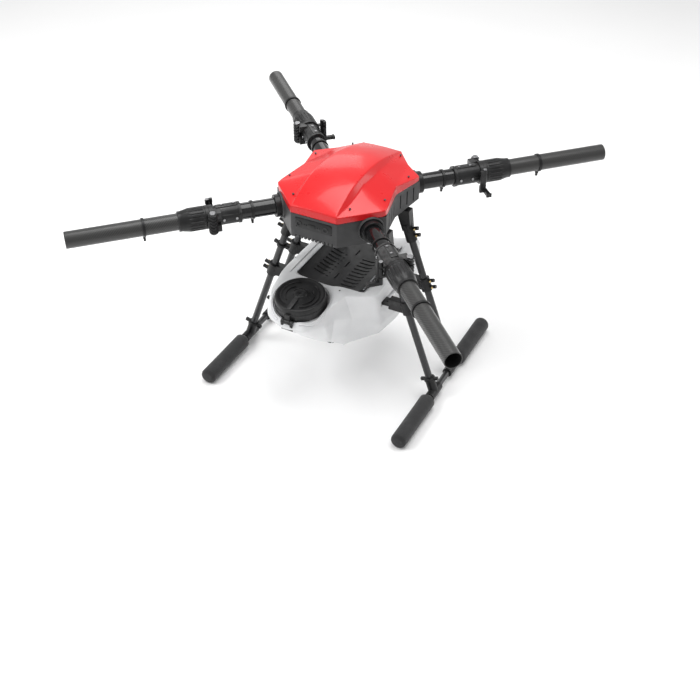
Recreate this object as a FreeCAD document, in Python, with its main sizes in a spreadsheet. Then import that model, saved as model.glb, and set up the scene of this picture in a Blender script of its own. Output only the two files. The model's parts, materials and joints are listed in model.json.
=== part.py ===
"""Foldable four-arm agricultural spray drone: hull, canopy, folding arms, tank and landing gear.

Frame: +Z up, the front faces -Y, origin under the middle of the skid pads. Millimetres.
An arm is built along +X of its own frame, whose origin is on the drone's centre line at arm height;
+Y of that frame is the hinge side. A leg is built along +Z of its own frame from its skid joint.
"""
import FreeCAD, Part
import math
import os

from FreeCAD import Placement, Rotation, Vector

os.makedirs("parts", exist_ok=True)
doc = FreeCAD.newDocument("SprayDrone")
sheet = doc.addObject("Spreadsheet::Sheet", "dims")

DIMENSIONS = {
    # arms
    "arm_height": 494.7,
    "arm_reach": 675.5,
    "arm_radius": 20.0,
    "arm_wall": 2.0,
    "inner_arm_start": 60.0,
    "collar_start": 168.0,
    "collar_length": 17.0,
    "collar_radius": 27.0,
    "clip_width": 6.0,
    "clip_radius": 22.5,
    "clip_groove": 0.3,
    "inner_clip_at": 237.0,
    "outer_clip_at": 494.0,
    "clamp_start": 268.0,
    "clamp_radius": 24.0,
    "joint_plane": 343.0,
    "joint_gap": 0.4,
    "flange_radius": 28.0,
    "flange_depth": 8.8,
    "hinge_reach": 339.0,
    "hinge_offset": 31.0,
    "barrel_radius": 9.0,
    "barrel_clearance": 2.4,
    "pin_radius": 4.0,
    "pin_clearance": 0.05,
    "barrel_low": -26.0,
    "barrel_top": 24.0,
    "barrel_middle": 9.0,
    "sleeve_end": 408.0,
    "sleeve_taper_start": 390.0,
    "latch_reach": 338.0,
    "latch_offset": -35.0,
    "latch_radius": 5.5,
    "latch_pin_radius": 2.5,
    "latch_low": -33.0,
    "latch_top": 25.0,
    "finger_length": 30.0,
    "ear_radius": 4.0,
    "ear_height": 5.0,
    "screw_radius": 3.2,
    # hull and canopy
    "hull_front": 176.0,
    "hull_back": 184.0,
    "hull_front_half": 60.0,
    "hull_back_half": 52.0,
    "hull_corner_x": 144.5,
    "hull_corner_y": 91.5,
    "hull_waist": 123.0,
    "hull_waist_y": 4.0,
    "hull_floor": 458.0,
    "hull_rim": 521.0,
    "canopy_rim": 522.0,
    "hull_wall": 3.0,
    "canopy_wall": 2.5,
    "plate_thickness": 2.0,
    "arm_bore_clearance": 0.2,
    "panel_half": 47.0,
    "panel_low": 488.0,
    "panel_height": 26.0,
    "panel_row": 498.0,
    "socket_left": -38.0,
    "socket_right": 31.0,
    "socket_radius": 7.0,
    "port_middle": -6.0,
    "port_half": 10.0,
    # battery tray
    "tray_half": 92.0,
    "tray_floor_half": 46.0,
    "tray_rim": 300.0,
    "tray_floor": 283.0,
    "tray_front": -100.0,
    "tray_back": 118.0,
    "tray_sheet": 3.0,
    "slot_pitch": 15.0,
    "slot_width": 4.5,
    # tank
    "tank_top": 298.0,
    "tank_bottom": 140.0,
    "tank_wall": 3.0,
    "neck_x": -37.0,
    "neck_y": -180.0,
    "neck_radius": 56.0,
    "cap_radius": 63.5,
    "cap_base": 270.0,
    "cap_top": 304.0,
    "cap_tilt": 7.5,
    "cap_hinge_y": -70.0,
    "cap_hinge_z": 2.0,
    "cap_hinge_radius": 6.0,
    "cap_pin_radius": 2.5,
    "outlet_radius": 15.0,
    "outlet_x": 4.0,
    "outlet_y": -104.0,
    # rails between the tank and the landing gear
    "rail_low": 250.0,
    "rail_high": 262.0,
    "rail_reach": 124.0,
    "rail_gap": 1.5,
    # landing gear
    "skid_half_span": 270.7,
    "leg_y": 56.0,
    "skid_height": 19.6,
    "leg_top_x": 135.0,
    "leg_top_z": 405.0,
    "leg_radius": 9.0,
    "skid_radius": 8.0,
    "skid_half_length": 262.0,
    "tee_radius": 12.5,
    "pad_radius": 20.1,
    "pad_start": 87.0,
    "pad_end": 272.0,
}

for row, (alias, value) in enumerate(DIMENSIONS.items(), start=1):
    sheet.set(f"A{row}", alias)
    sheet.set(f"B{row}", str(value))
    sheet.setAlias(f"B{row}", alias)
doc.recompute()


class Sheet:
    """Numbers of the spreadsheet, read by name."""

    def __getattr__(self, alias):
        return float(sheet.get(alias))


d = Sheet()
nodes = []
X_AXIS = Vector(1, 0, 0)
Y_AXIS = Vector(0, 1, 0)
Z_AXIS = Vector(0, 0, 1)
ALONG = {
    "x": Rotation(Y_AXIS, 90),
    "y": Rotation(X_AXIS, -90),
    "z": Rotation(),
}


# ---------------------------------------------------------------- helpers
def bind(obj, prop, value):
    """A text value is a spreadsheet expression, and a number is set as it is."""
    if isinstance(value, str):
        obj.setExpression(prop, value)
    else:
        setattr(obj, prop, value)


def box(low, size, name="Block"):
    """A block from its lowest corner."""
    obj = doc.addObject("Part::Box", name)
    for prop, value in zip(("Length", "Width", "Height"), size):
        bind(obj, prop, value)
    obj.Placement = Placement(Vector(*low), Rotation())
    return obj


def cylinder(base, radius, height, along="z", name="Round"):
    """A cylinder that starts at base and runs along +X, +Y or +Z."""
    obj = doc.addObject("Part::Cylinder", name)
    bind(obj, "Radius", radius)
    bind(obj, "Height", height)
    obj.Placement = Placement(Vector(*base), ALONG[along])
    return obj


def cone(base, first_radius, second_radius, height, along="z", name="Taper"):
    """A truncated cone that starts at base and runs along +X, +Y or +Z."""
    obj = doc.addObject("Part::Cone", name)
    bind(obj, "Radius1", first_radius)
    bind(obj, "Radius2", second_radius)
    bind(obj, "Height", height)
    obj.Placement = Placement(Vector(*base), ALONG[along])
    return obj


def fuse(*pieces):
    """One solid of several touching pieces."""
    obj = doc.addObject("Part::MultiFuse", "Fusion")
    obj.Shapes = list(pieces)
    obj.Refine = True
    return obj


def cut(base, *tools):
    """The base with every tool removed."""
    obj = doc.addObject("Part::Cut", "Cut")
    obj.Base = base
    obj.Tool = tools[0] if len(tools) == 1 else group(*tools)
    return obj


def group(*pieces):
    """Several separate solids in one shape."""
    obj = doc.addObject("Part::Compound", "Group")
    obj.Links = list(pieces)
    return obj


def ring(base, outer, inner, width, along="x"):
    """A plain ring."""
    return cut(cylinder(base, outer, width, along), cylinder(base, inner, width, along))


def node(label, obj, placement=Placement()):
    """Names a finished sub-part and puts it in its place."""
    obj.Label = label
    obj.Placement = placement.multiply(obj.Placement)
    nodes.append(obj)
    return obj


def extruded(points, length, plane="z", base=0.0, name="Profile"):
    """A straight-sided outline pushed along +Z or +Y by length, from base."""
    outline = doc.addObject("Part::Polygon", name + "Outline")
    if plane == "z":
        outline.Nodes = [Vector(a, b, base) for a, b in points]
        direction = Z_AXIS
    else:
        outline.Nodes = [Vector(a, base, b) for a, b in points]
        direction = Y_AXIS
    outline.Close = True
    solid = doc.addObject("Part::Extrusion", name)
    solid.Base = outline
    solid.DirMode = "Custom"
    solid.Dir = direction
    bind(solid, "LengthFwd", length)
    solid.Solid = True
    return solid


def faceted(faces):
    """A closed solid of flat faces, each given by its corners."""
    made = []
    for corners in faces:
        points = [Vector(*corner) for corner in corners]
        made.append(Part.Face(Part.makePolygon(points + points[:1])))
    shell = Part.makeShell(made)
    shell.sewShape()
    solid = Part.makeSolid(Part.Shell(shell.Faces))
    if solid.Volume < 0:
        solid.reverse()
    return solid


def feature(shape, name="Shaped"):
    """A document object for a shape that no standard feature makes."""
    obj = doc.addObject("Part::Feature", name)
    obj.Shape = shape
    return obj


# ---------------------------------------------------------------- arms
ARMS = {
    "rear_right": 45.0,
    "rear_left": 135.0,
    "front_left": 225.0,
    "front_right": 315.0,
}


LATCH_EARS = (10.0, -15.0)


def arm_frame(angle):
    """Frame of an arm at this angle about the drone's centre line."""
    return Placement(Vector(0, 0, d.arm_height), Rotation(Z_AXIS, angle))


def tube(start, length, outer="dims.arm_radius", inner="dims.arm_radius - dims.arm_wall"):
    """A hollow tube along the arm."""
    return ring((start, 0, 0), outer, inner, length)


def hinge_barrel(low, high, extra=0.0):
    """A length of the fold hinge's barrel, or the space that it turns in."""
    radius = "dims.barrel_radius" if extra == 0.0 else f"dims.barrel_radius + {extra}"
    return cylinder((d.hinge_reach, d.hinge_offset, low), radius, high - low)


def fold_pin_hole():
    """The bore that the fold pin turns in."""
    low = d.barrel_low - 1.0
    radius = "dims.pin_radius + dims.pin_clearance"
    return cylinder((d.hinge_reach, d.hinge_offset, low), radius, d.barrel_top + 2.0 - low)


def clamp_screw_seats():
    """Base, direction and side of each screw of a fold clamp."""
    side_height = -1.0
    seats = [(reach, side * 21.0, side_height, side) for reach in (281.0, 311.5) for side in (-1, 1)]
    seats += [(reach, -2.0, 21.0, 0) for reach in (283.0, 312.0)]
    return seats


def clamp_screw(reach, offset, height, side):
    """Shank and round head of one clamp screw; side 0 stands on top."""
    shank = 3.4 if side else 4.0
    if side == 0:
        stem = cylinder((reach, offset, height), 2.0, shank)
        head = cylinder((reach, offset, height + shank), "dims.screw_radius", 2.2)
    else:
        start = offset if side > 0 else offset - shank
        head_start = offset + shank if side > 0 else offset - shank - 2.2
        stem = cylinder((reach, start, height), 2.0, shank, "y")
        head = cylinder((reach, head_start, height), "dims.screw_radius", 2.2, "y")
    return fuse(stem, head)


def latch_ears():
    """Two round-ended ears that hold the latch pin."""
    ears = []
    for low in LATCH_EARS:
        ears.append(cylinder((d.latch_reach, d.latch_offset, low), "dims.ear_radius", "dims.ear_height"))
        ears.append(box((d.latch_reach - d.ear_radius, d.latch_offset, low),
                        (2 * d.ear_radius, 14.0, "dims.ear_height")))
    return ears


def fold_clamp(label, placement):
    """Fixed half of the fold joint: a socket on the inner tube, its flange and its hinge ears."""
    socket_length = d.joint_plane - d.clamp_start - d.joint_gap / 2
    face = d.joint_plane - d.joint_gap / 2
    ear_width = 24.0
    clearance = d.barrel_clearance
    solid = fuse(
        cylinder((d.clamp_start, 0, 0), "dims.clamp_radius", socket_length, "x"),
        cylinder((d.clamp_start, 0, 0), "dims.clamp_radius + 1.5", 6.0, "x"),
        cylinder((face - d.flange_depth, 0, 0), "dims.flange_radius", "dims.flange_depth", "x"),
        box((face - ear_width, 10.0, d.barrel_low), (ear_width - 3.8, d.hinge_offset - 10.0, 17.0)),
        box((face - ear_width, 10.0, d.barrel_middle), (ear_width - 3.8, d.hinge_offset - 10.0, 15.0)),
        hinge_barrel(d.barrel_low, -d.barrel_middle),
        hinge_barrel(d.barrel_middle, d.barrel_top),
        box((d.clamp_start + 8.0, -7.0, 20.0), (50.0, 14.0, 5.0)),
        *latch_ears(),
    )
    moving_space = hinge_barrel(-d.barrel_middle, d.barrel_middle, clearance)
    latch_bore = cylinder((d.latch_reach, d.latch_offset, -40.0), "dims.latch_pin_radius + 0.05", 80.0)
    tools = [
        cylinder((d.clamp_start - 1, 0, 0), "dims.arm_radius", socket_length + 2, "x"),
        moving_space,
        fold_pin_hole(),
        latch_bore,
    ]
    for reach, offset, height, side in clamp_screw_seats():
        if side == 0:
            tools.append(cylinder((reach, offset, height - 3.0), 2.0, 10.0))
        else:
            start = offset - 3.0 if side > 0 else offset - 4.0
            tools.append(cylinder((reach, start, height), 2.0, 7.0, "y"))
    node(label, cut(solid, *tools), placement)


def hinge_knuckle(label, placement):
    """Moving half of the fold joint: a flange on the outer tube with the middle hinge barrel."""
    face = d.joint_plane + d.joint_gap / 2
    middle = d.barrel_middle - 0.3
    flange = cut(
        cylinder((face, 0, 0), "dims.flange_radius", "dims.flange_depth", "x"),
        hinge_barrel(d.barrel_middle - 0.3, 40.0, d.barrel_clearance),
        hinge_barrel(-40.0, 0.3 - d.barrel_middle, d.barrel_clearance),
    )
    web = box((face, 18.0, -middle), (d.flange_depth, 19.0, 2 * middle))
    solid = fuse(flange, web, hinge_barrel(-middle, middle))
    bore = cylinder((face - 1, 0, 0), "dims.arm_radius", 20.0, "x")
    node(label, cut(solid, bore, fold_pin_hole()), placement)


def lock_sleeve(label, placement):
    """Sleeve behind the moving flange, tapering to an end ring."""
    start = d.joint_plane + d.joint_gap / 2 + d.flange_depth
    body = fuse(
        cylinder((start, 0, 0), "dims.flange_radius", d.sleeve_taper_start - start, "x"),
        cone((d.sleeve_taper_start, 0, 0), "dims.flange_radius", "dims.clamp_radius",
             "dims.sleeve_end - dims.sleeve_taper_start", "x"),
        cylinder((d.sleeve_end, 0, 0), "dims.clamp_radius", 8.0, "x"),
    )
    node(label, cut(body, cylinder((start - 1, 0, 0), "dims.arm_radius", 80.0, "x")), placement)


def latch_lever(label, placement):
    """Upright lever on the latch side, with a finger tab at its foot."""
    x, y = d.latch_reach, d.latch_offset
    height = d.latch_top - d.latch_low
    ear_gap = 0.3
    solid = fuse(
        cylinder((x, y, d.latch_low), "dims.latch_radius", height),
        box((x - 13.0, y - 8.0, d.latch_low), (13.0, 7.5, height)),
        box((x - 4.0, y - d.finger_length, d.latch_low), (9.0, d.finger_length, 9.0)),
        box((x - 6.0, y - d.finger_length - 4.0, d.latch_low), (13.0, 5.0, 9.0)),
    )
    tools = [cylinder((x, y, d.latch_low - 1), "dims.latch_pin_radius + 0.05", height + 2)]
    for low in LATCH_EARS:
        slot = (x - 14.0, y - d.ear_radius - ear_gap, low - ear_gap)
        tools.append(box(slot, (22.0, 14.0, d.ear_height + 2 * ear_gap)))
    node(label, cut(solid, *tools), placement)


def clip_ring(at):
    """Cable clip: a band round the tube with a small lug under it."""
    band = ring((at, 0, 0), "dims.clip_radius", "dims.arm_radius", "dims.clip_width")
    lug = cylinder((at, 0, -27.0), 4.0, "dims.clip_width", "x")
    stem = box((at, -3.0, -27.0), (d.clip_width, 6.0, 6.0))
    tail = box((at, -2.5, -36.0), (d.clip_width - 1.0, 5.0, 9.0))
    hollow = cylinder((at - 2.0, 0, 0), "dims.arm_radius", 12.0, "x")
    return cut(fuse(band, stem, lug, tail), hollow)


def outer_tube(start):
    """Outer tube of an arm; its cable clip sits in a shallow groove, and a motor clamp slides on beyond it."""
    groove_start = d.outer_clip_at + 1.0
    groove = ring((groove_start, 0, 0), "dims.arm_radius + 1", "dims.arm_radius - dims.clip_groove",
                  "dims.clip_width - 0.8")
    return cut(tube(start, d.arm_reach - start), groove)


def build_arms():
    """Four folding arms, each with its own moving pieces; fasteners are grouped."""
    inner_length = d.joint_plane - d.joint_gap / 2 - 1.0 - d.inner_arm_start
    outer_start = d.joint_plane + d.joint_gap / 2
    inner_tubes, inner_clips, collars, screws, pins, latch_pins = [], [], [], [], [], []
    for side, angle in ARMS.items():
        frame = arm_frame(angle)
        fold_clamp("fold_clamp_" + side, frame)
        hinge_knuckle("hinge_knuckle_" + side, frame)
        lock_sleeve("lock_sleeve_" + side, frame)
        latch_lever("latch_lever_" + side, frame)
        node("outer_arm_tube_" + side, outer_tube(outer_start), frame)
        node("outer_cable_clip_" + side, clip_ring(d.outer_clip_at), frame)
        inner_tube = tube(d.inner_arm_start, inner_length)
        clip = clip_ring(d.inner_clip_at)
        collar = ring((d.collar_start, 0, 0), "dims.collar_radius", "dims.arm_radius", "dims.collar_length")
        pin = fuse(
            cylinder((d.hinge_reach, d.hinge_offset, d.barrel_low - 3.0), "dims.pin_radius",
                     d.barrel_top - d.barrel_low + 6.0),
            cylinder((d.hinge_reach, d.hinge_offset, d.barrel_top), 7.0, 4.5),
            cylinder((d.hinge_reach, d.hinge_offset, d.barrel_low - 4.0), 6.5, 4.0),
        )
        latch_pin = fuse(
            cylinder((d.latch_reach, d.latch_offset, d.latch_low), "dims.latch_pin_radius",
                     d.latch_top - d.latch_low + 2.0),
            cylinder((d.latch_reach, d.latch_offset, d.latch_top), 4.5, 2.5),
        )
        for seat in clamp_screw_seats():
            screw = clamp_screw(*seat)
            screw.Placement = frame
            screws.append(screw)
        for obj, bucket in (
            (inner_tube, inner_tubes),
            (clip, inner_clips),
            (collar, collars),
            (pin, pins),
            (latch_pin, latch_pins),
        ):
            obj.Placement = frame
            bucket.append(obj)
    node("inner_arm_tubes", group(*inner_tubes))
    node("inner_cable_clips", group(*inner_clips))
    node("arm_collars", group(*collars))
    node("clamp_screws", group(*screws))
    node("fold_pins", group(*pins))
    node("latch_pins", group(*latch_pins))


# ---------------------------------------------------------------- hull and canopy
def plan(scale=1.0):
    """Outline of the hull seen from above, shrunk towards its centre."""
    front, back = -d.hull_front, d.hull_back
    right = [
        (d.hull_front_half, front),
        (d.hull_corner_x, -d.hull_corner_y),
        (d.hull_waist, d.hull_waist_y),
        (d.hull_corner_x, d.hull_corner_y),
        (d.hull_back_half, back),
    ]
    left = [(-x, y) for x, y in reversed(right)]
    return [(x * scale, y * scale) for x, y in right + left]


def bevelled_block(scale, floor, top, bevel_start, bevel_rise):
    """A prism of the plan whose long bottom edges are bevelled."""
    block = extruded(plan(scale), top - floor, "z", floor, "Hull")
    wedges = []
    for side in (-1, 1):
        outer = side * (d.hull_corner_x + 5.0)
        profile = [(side * bevel_start, floor), (outer, floor), (outer, floor + bevel_rise)]
        wedges.append(extruded(profile, 2 * d.hull_back, "y", -d.hull_back, "Bevel"))
    return cut(block, *wedges)


def arm_bores():
    """Holes through the hull's slanted faces for the inner tubes."""
    bores = []
    for angle in ARMS.values():
        bore = cylinder((130.0, 0, 0), "dims.arm_radius + dims.arm_bore_clearance", 50.0, "x")
        bore.Placement = arm_frame(angle).multiply(bore.Placement)
        bores.append(bore)
    return bores


def build_hull():
    """Open-topped hull with arm holes, side slots, front teeth and a panel recess."""
    outer = bevelled_block(1.0, d.hull_floor, d.hull_rim, 118.0, 16.0)
    inner = bevelled_block(0.965, d.hull_floor + d.hull_wall, d.hull_rim + 1.0, 113.0, 18.0)
    tools = [inner] + arm_bores()
    teeth, pitch = 11, 9.5
    for index in range(teeth):
        x = (index - (teeth - 1) / 2) * pitch
        tools.append(box((x - 1.8, -d.hull_front - 1.0, d.hull_floor - 1.0), (3.6, 9.0, 8.0)))
    for side in (-1, 1):
        for y in (-62.0, -38.0, -14.0, 22.0, 46.0, 70.0):
            waist_distance = abs(y - d.hull_waist_y) / (d.hull_corner_y - d.hull_waist_y)
            x = d.hull_waist + (d.hull_corner_x - d.hull_waist) * waist_distance
            low = x - 8.0 if side > 0 else -x - 4.0
            tools.append(box((low, y - 1.7, 476.0), (12.0, 3.4, 36.0)))
    tools.append(box((-d.panel_half, -d.hull_front - 1.0, d.panel_low),
                     ("2 * dims.panel_half", 10.0, "dims.panel_height")))
    node("lower_hull", cut(outer, *tools))


def build_front_panel():
    """Recessed connector panel with two round sockets and a middle port."""
    face = -d.hull_front + 2.0
    row = d.panel_row
    plate = box((-d.panel_half, face, d.panel_low), ("2 * dims.panel_half", 5.0, "dims.panel_height"))
    sockets = []
    holes = []
    for x in (d.socket_left, d.socket_right):
        holes.append(cylinder((x, face - 1.0, row), "dims.socket_radius", 8.0, "y"))
        body = cylinder((x, face - 0.5, row), "dims.socket_radius", 6.0, "y")
        sockets.append(cut(body, cylinder((x, face - 1.0, row), 4.2, 4.0, "y")))
    left = d.port_middle - d.port_half
    holes.append(box((left, face - 1.0, row - 5.0), ("2 * dims.port_half", 8.0, 10.0)))
    port = cut(
        box((left, face, row - 5.0), ("2 * dims.port_half", 5.0, 10.0)),
        box((left + 3.0, face - 1.0, row - 2.5), (14.0, 4.0, 5.0)),
    )
    node("connector_panel", cut(plate, *holes))
    node("panel_sockets", group(port, *sockets))


# Heights and half-widths of the canopy's creases from front to back, as (half width, y, height).
CROWN = [(0, -176, 543), (0, -117, 574), (0, -58, 584.5), (0, 0, 584), (0, 58, 578), (0, 117, 562),
         (0, 184, 536)]
BAND = [(56, -176, 540), (56, -117, 569), (58, -58, 579.5), (56, 0, 579), (56, 58, 573),
        (55, 117, 557), (50, 184, 533.5)]
SHOULDER = [(60, -176, 538), (70, -117, 551), (67.5, -58, 564.5), (66, 14, 569), (66, 70, 557.5),
            (60, 126, 549), (52, 184, 533)]
NOTCH = (70, 24, 562.5)
RIM_CORNER = (144.5, -91.5, 537)
RIM_WAIST = (123, 4, 545)
RIM_REAR = (144.5, 91.5, 533)
BACK_CREASE = (96, 129, 535)


def canopy_block(shrink, lower, floor):
    """The canopy's outer form, or its hollow when shrunk and lowered."""

    def place(point, side=1):
        x, y, z = point
        return (side * x * shrink, y * shrink, z - lower)

    half = []
    for edge_a, edge_b in ((CROWN, BAND), (BAND, SHOULDER)):
        for index in range(len(edge_a) - 1):
            a0, a1, b0, b1 = edge_a[index], edge_a[index + 1], edge_b[index], edge_b[index + 1]
            half += [(a0, b0, b1), (a0, b1, a1)]
    front_foot, back_foot = SHOULDER[0], SHOULDER[-1]
    half += [
        (front_foot, RIM_CORNER, SHOULDER[1]),
        (SHOULDER[1], RIM_CORNER, SHOULDER[2]),
        (SHOULDER[2], RIM_CORNER, RIM_WAIST),
        (SHOULDER[2], RIM_WAIST, NOTCH),
        (SHOULDER[2], NOTCH, SHOULDER[3]),
        (SHOULDER[3], NOTCH, SHOULDER[4]),
        (NOTCH, RIM_WAIST, BACK_CREASE),
        (NOTCH, BACK_CREASE, SHOULDER[4]),
        (SHOULDER[4], BACK_CREASE, SHOULDER[5]),
        (SHOULDER[5], BACK_CREASE, back_foot),
        (RIM_WAIST, RIM_REAR, BACK_CREASE),
    ]
    outline = [SHOULDER[0], RIM_CORNER, RIM_WAIST, RIM_REAR, BACK_CREASE, SHOULDER[-1]]
    faces = []
    for side in (1, -1):
        faces += [[place(point, side) for point in triangle] for triangle in half]
        for first, second in zip(outline, outline[1:]):
            a, b = place(first, side), place(second, side)
            faces.append([a, b, (b[0], b[1], floor), (a[0], a[1], floor)])
    right = [place(point) for point in outline]
    left = [place(point, -1) for point in reversed(outline)]
    for first, second, crown in ((left[-1], right[0], CROWN[0]), (right[-1], left[0], CROWN[-1])):
        top = place(crown)
        band = BAND[0] if crown is CROWN[0] else BAND[-1]
        near = place(band, -1 if first[0] < 0 else 1)
        far = place(band, -1 if second[0] < 0 else 1)
        faces.append([first, near, top, far, second, (second[0], second[1], floor),
                      (first[0], first[1], floor)])
    faces.append([(x, y, floor) for x, y, z in right + left])
    return faceted(faces)


def build_canopy():
    """Thin canopy with creased wings, its gasket and its eight screws."""
    outer = canopy_block(1.0, 0.0, d.canopy_rim)
    hollow = canopy_block(0.975, d.canopy_wall, d.canopy_rim - 1.0)
    screws, holes = [], []
    for x, y, z in ((74, -137.5, 545), (126, -63, 543.5), (126, 67, 538.5), (66, 150, 541)):
        for side in (-1, 1):
            holes.append(cylinder((side * x, y, z - 14.0), 1.6, 30.0))
            screws.append(fuse(
                cylinder((side * x, y, z - 12.0), 1.6, 14.0),
                cylinder((side * x, y, z + 1.4), 2.6, 1.6),
            ))
    node("canopy", cut(feature(outer.cut(hollow), "CanopyShell"), *holes))
    node("canopy_screws", group(*screws))
    rim = extruded(plan(0.995), d.canopy_rim - d.hull_rim, "z", d.hull_rim, "Gasket")
    opening = extruded(plan(0.97), 3.0, "z", d.hull_rim - 1.0, "GasketOpening")
    node("canopy_gasket", cut(rim, opening))


def build_inner_frame():
    """Carbon plates that hold the inner tubes, their spacers and the electronics."""
    tube_top = d.arm_height + d.arm_radius
    tube_low = d.arm_height - d.arm_radius
    corner = 80.0
    notch = 35.0
    outline = [(corner, notch), (notch, corner), (-notch, corner), (-corner, notch),
               (-corner, -notch), (-notch, -corner), (notch, -corner), (corner, -notch)]
    lower = extruded(outline, "dims.plate_thickness", "z", tube_low - d.plate_thickness, "Plate")
    upper = extruded(outline, "dims.plate_thickness", "z", tube_top, "Plate")
    node("lower_frame_plate", lower)
    node("upper_frame_plate", upper)
    spacers = [
        ring((x, y, tube_low), 4.0, 1.6, 2 * d.arm_radius, "z")
        for x, y in ((72.0, 0.0), (-72.0, 0.0), (0.0, 72.0), (0.0, -72.0))
    ]
    node("frame_spacers", group(*spacers))
    node("power_board", box((-38.0, -20.0, tube_low), (76.0, 40.0, 3.0)))
    controller = tube_top + d.plate_thickness
    node("flight_controller", fuse(
        box((-26.0, -36.0, controller), (52.0, 72.0, 16.0)),
        box((-20.0, -40.0, controller + 4.0), (40.0, 80.0, 8.0)),
    ))


# ---------------------------------------------------------------- battery tray
def tray_profile(lift, spread):
    """Section of the tray's trough: lift moves it up and spread widens it."""
    return [(-d.tray_half - spread, d.tray_rim + lift), (-d.tray_floor_half - spread, d.tray_floor + lift),
            (d.tray_floor_half + spread, d.tray_floor + lift), (d.tray_half + spread, d.tray_rim + lift)]


def build_tray():
    """Slotted trough for the battery, hung from the hull by four hangers."""
    length = d.tray_back - d.tray_front
    upper = tray_profile(0.0, 0.0)
    lower = tray_profile(-d.tray_sheet, 0.0)
    trough = extruded(upper + lower[::-1], length, "y", d.tray_front, "Trough")
    lips = [
        box((side * (d.tray_half - 1.5) - 1.5, d.tray_front, d.tray_rim - d.tray_sheet),
            (3.0, length, 7.0))
        for side in (-1, 1)
    ]
    tools = []
    for index in range(9):
        y = -78.0 + index * d.slot_pitch
        tools.append(box((16.0, y, 270.0), (42.0, "dims.slot_width", 40.0)))
        if index < 8:
            tools.append(box((-68.0, y + 20.0, 270.0), (30.0, "dims.slot_width", 40.0)))
            tools.append(box((-33.0, y + 17.0, 270.0), (6.0, 3.0, 40.0)))
    for start in (-62.0, -4.0, 54.0):
        tools.append(box((-10.0, start, 270.0), (3.5, 25.0, 40.0)))
    front_corner = [(66.0, d.tray_front - 5.0), (100.0, d.tray_front - 5.0), (100.0, d.tray_front + 22.0)]
    tools.append(extruded(front_corner, 60.0, "z", 260.0, "CornerCut"))
    node("battery_tray", cut(fuse(trough, *lips), *tools))
    hangers = []
    for side in (-1, 1):
        for y in (66.0, 98.0):
            x = side * 60.0
            foot = d.tray_floor + (60.0 - d.tray_floor_half) * 17.0 / 46.0 + 2.0
            hangers.append(cylinder((x, y, foot), 5.0, d.hull_floor - foot))
    node("tray_hangers", group(*hangers))


# ---------------------------------------------------------------- tank
# Corners of the tank, column by column from the rear left round the front to the rear right.
TANK_COLUMNS = [
    ((-116, 182, 298), (-120, 188, 215), (-106, 165, 150)),
    ((-131, 60, 298), (-140, 60, 215), (-124, 50, 150)),
    ((-134, -95, 298), (-141, -105, 222), (-116, -75, 150)),
    ((-122, -180, 290), (-134, -178, 238), (-96, -118, 150)),
    ((-98, -222, 274), (-106, -232, 244), (-70, -146, 152)),
    ((-52, -248, 268), (-50, -262, 247), (-35, -152, 148)),
    ((-6, -242, 268), (8, -252, 247), (0, -146, 144)),
    ((26, -205, 274), (42, -205, 243), (14, -138, 142)),
    ((50, -160, 292), (44, -165, 240), (20, -135, 141)),
    ((60, -138, 298), (70, -120, 225), (50, -126, 138)),
    ((126, -105, 298), (128, -76, 192), (114, -56, 150)),
    ((131, 60, 298), (140, 40, 192), (127, 33, 150)),
    ((116, 182, 298), (120, 188, 215), (106, 165, 150)),
]
TANK_CENTRE_Y = -20.0


def tank_form(inset):
    """Faceted tank body, or its hollow when inset by the wall."""
    factor = 1.0 - inset / 120.0
    rise = (-inset, 0.0, inset)
    columns = []
    for column in TANK_COLUMNS:
        columns.append([
            (x * factor, TANK_CENTRE_Y + (y - TANK_CENTRE_Y) * factor, z + lift)
            for (x, y, z), lift in zip(column, rise)
        ])
    top_middle = (0.0, -60.0, d.tank_top - inset)
    low_middle = (0.0, TANK_CENTRE_Y, d.tank_bottom + inset)
    faces = []
    for first, second in zip(columns, columns[1:] + columns[:1]):
        faces.append([top_middle, first[0], second[0]])
        faces.append([low_middle, second[2], first[2]])
        for level in (0, 1):
            faces.append([first[level], first[level + 1], second[level + 1]])
            faces.append([first[level], second[level + 1], second[level]])
    return faceted(faces)


def cap_frame():
    """Frame of the filler neck: its origin is under the middle of the cap, tilted to the front."""
    return Placement(Vector(d.neck_x, d.neck_y, d.cap_base), Rotation(X_AXIS, d.cap_tilt))


def tilted(obj):
    """Moves a piece from the cap's own frame into the drone's."""
    obj.Placement = cap_frame().multiply(obj.Placement)
    return obj


def tray_seat():
    """The trough that the battery tray fits in, and the same one with the tank's wall round it."""
    gap = 1.2
    spread = 3.5
    start = d.tray_front - 4.0
    blocks = []
    for wall in (0.0, d.tank_wall):
        profile = tray_profile(-d.tray_sheet - gap - wall, spread + wall)
        profile += [(d.tray_half + spread + wall, 320.0), (-d.tray_half - spread - wall, 320.0)]
        blocks.append(extruded(profile, 300.0, "y", start - wall, "TankTrough"))
    return blocks


def rail_grooves(wall):
    """Side grooves that the rails run in, open to the rear; a wall makes them larger."""
    grooves = []
    for side in (-1, 1):
        near = d.rail_reach - d.rail_gap - wall
        low = near if side > 0 else -near - 40.0
        height = d.rail_high - d.rail_low + 2 * (d.rail_gap + wall)
        grooves.append(box((low, -75.0 - wall, d.rail_low - d.rail_gap - wall), (40.0, 300.0, height)))
    return grooves


def cap_hinge_round(start, length, radius="dims.cap_hinge_radius"):
    """A round of the cap's hinge, in the cap's own frame."""
    return cylinder((start, d.cap_hinge_y, d.cap_hinge_z), radius, length, "x")


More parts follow.
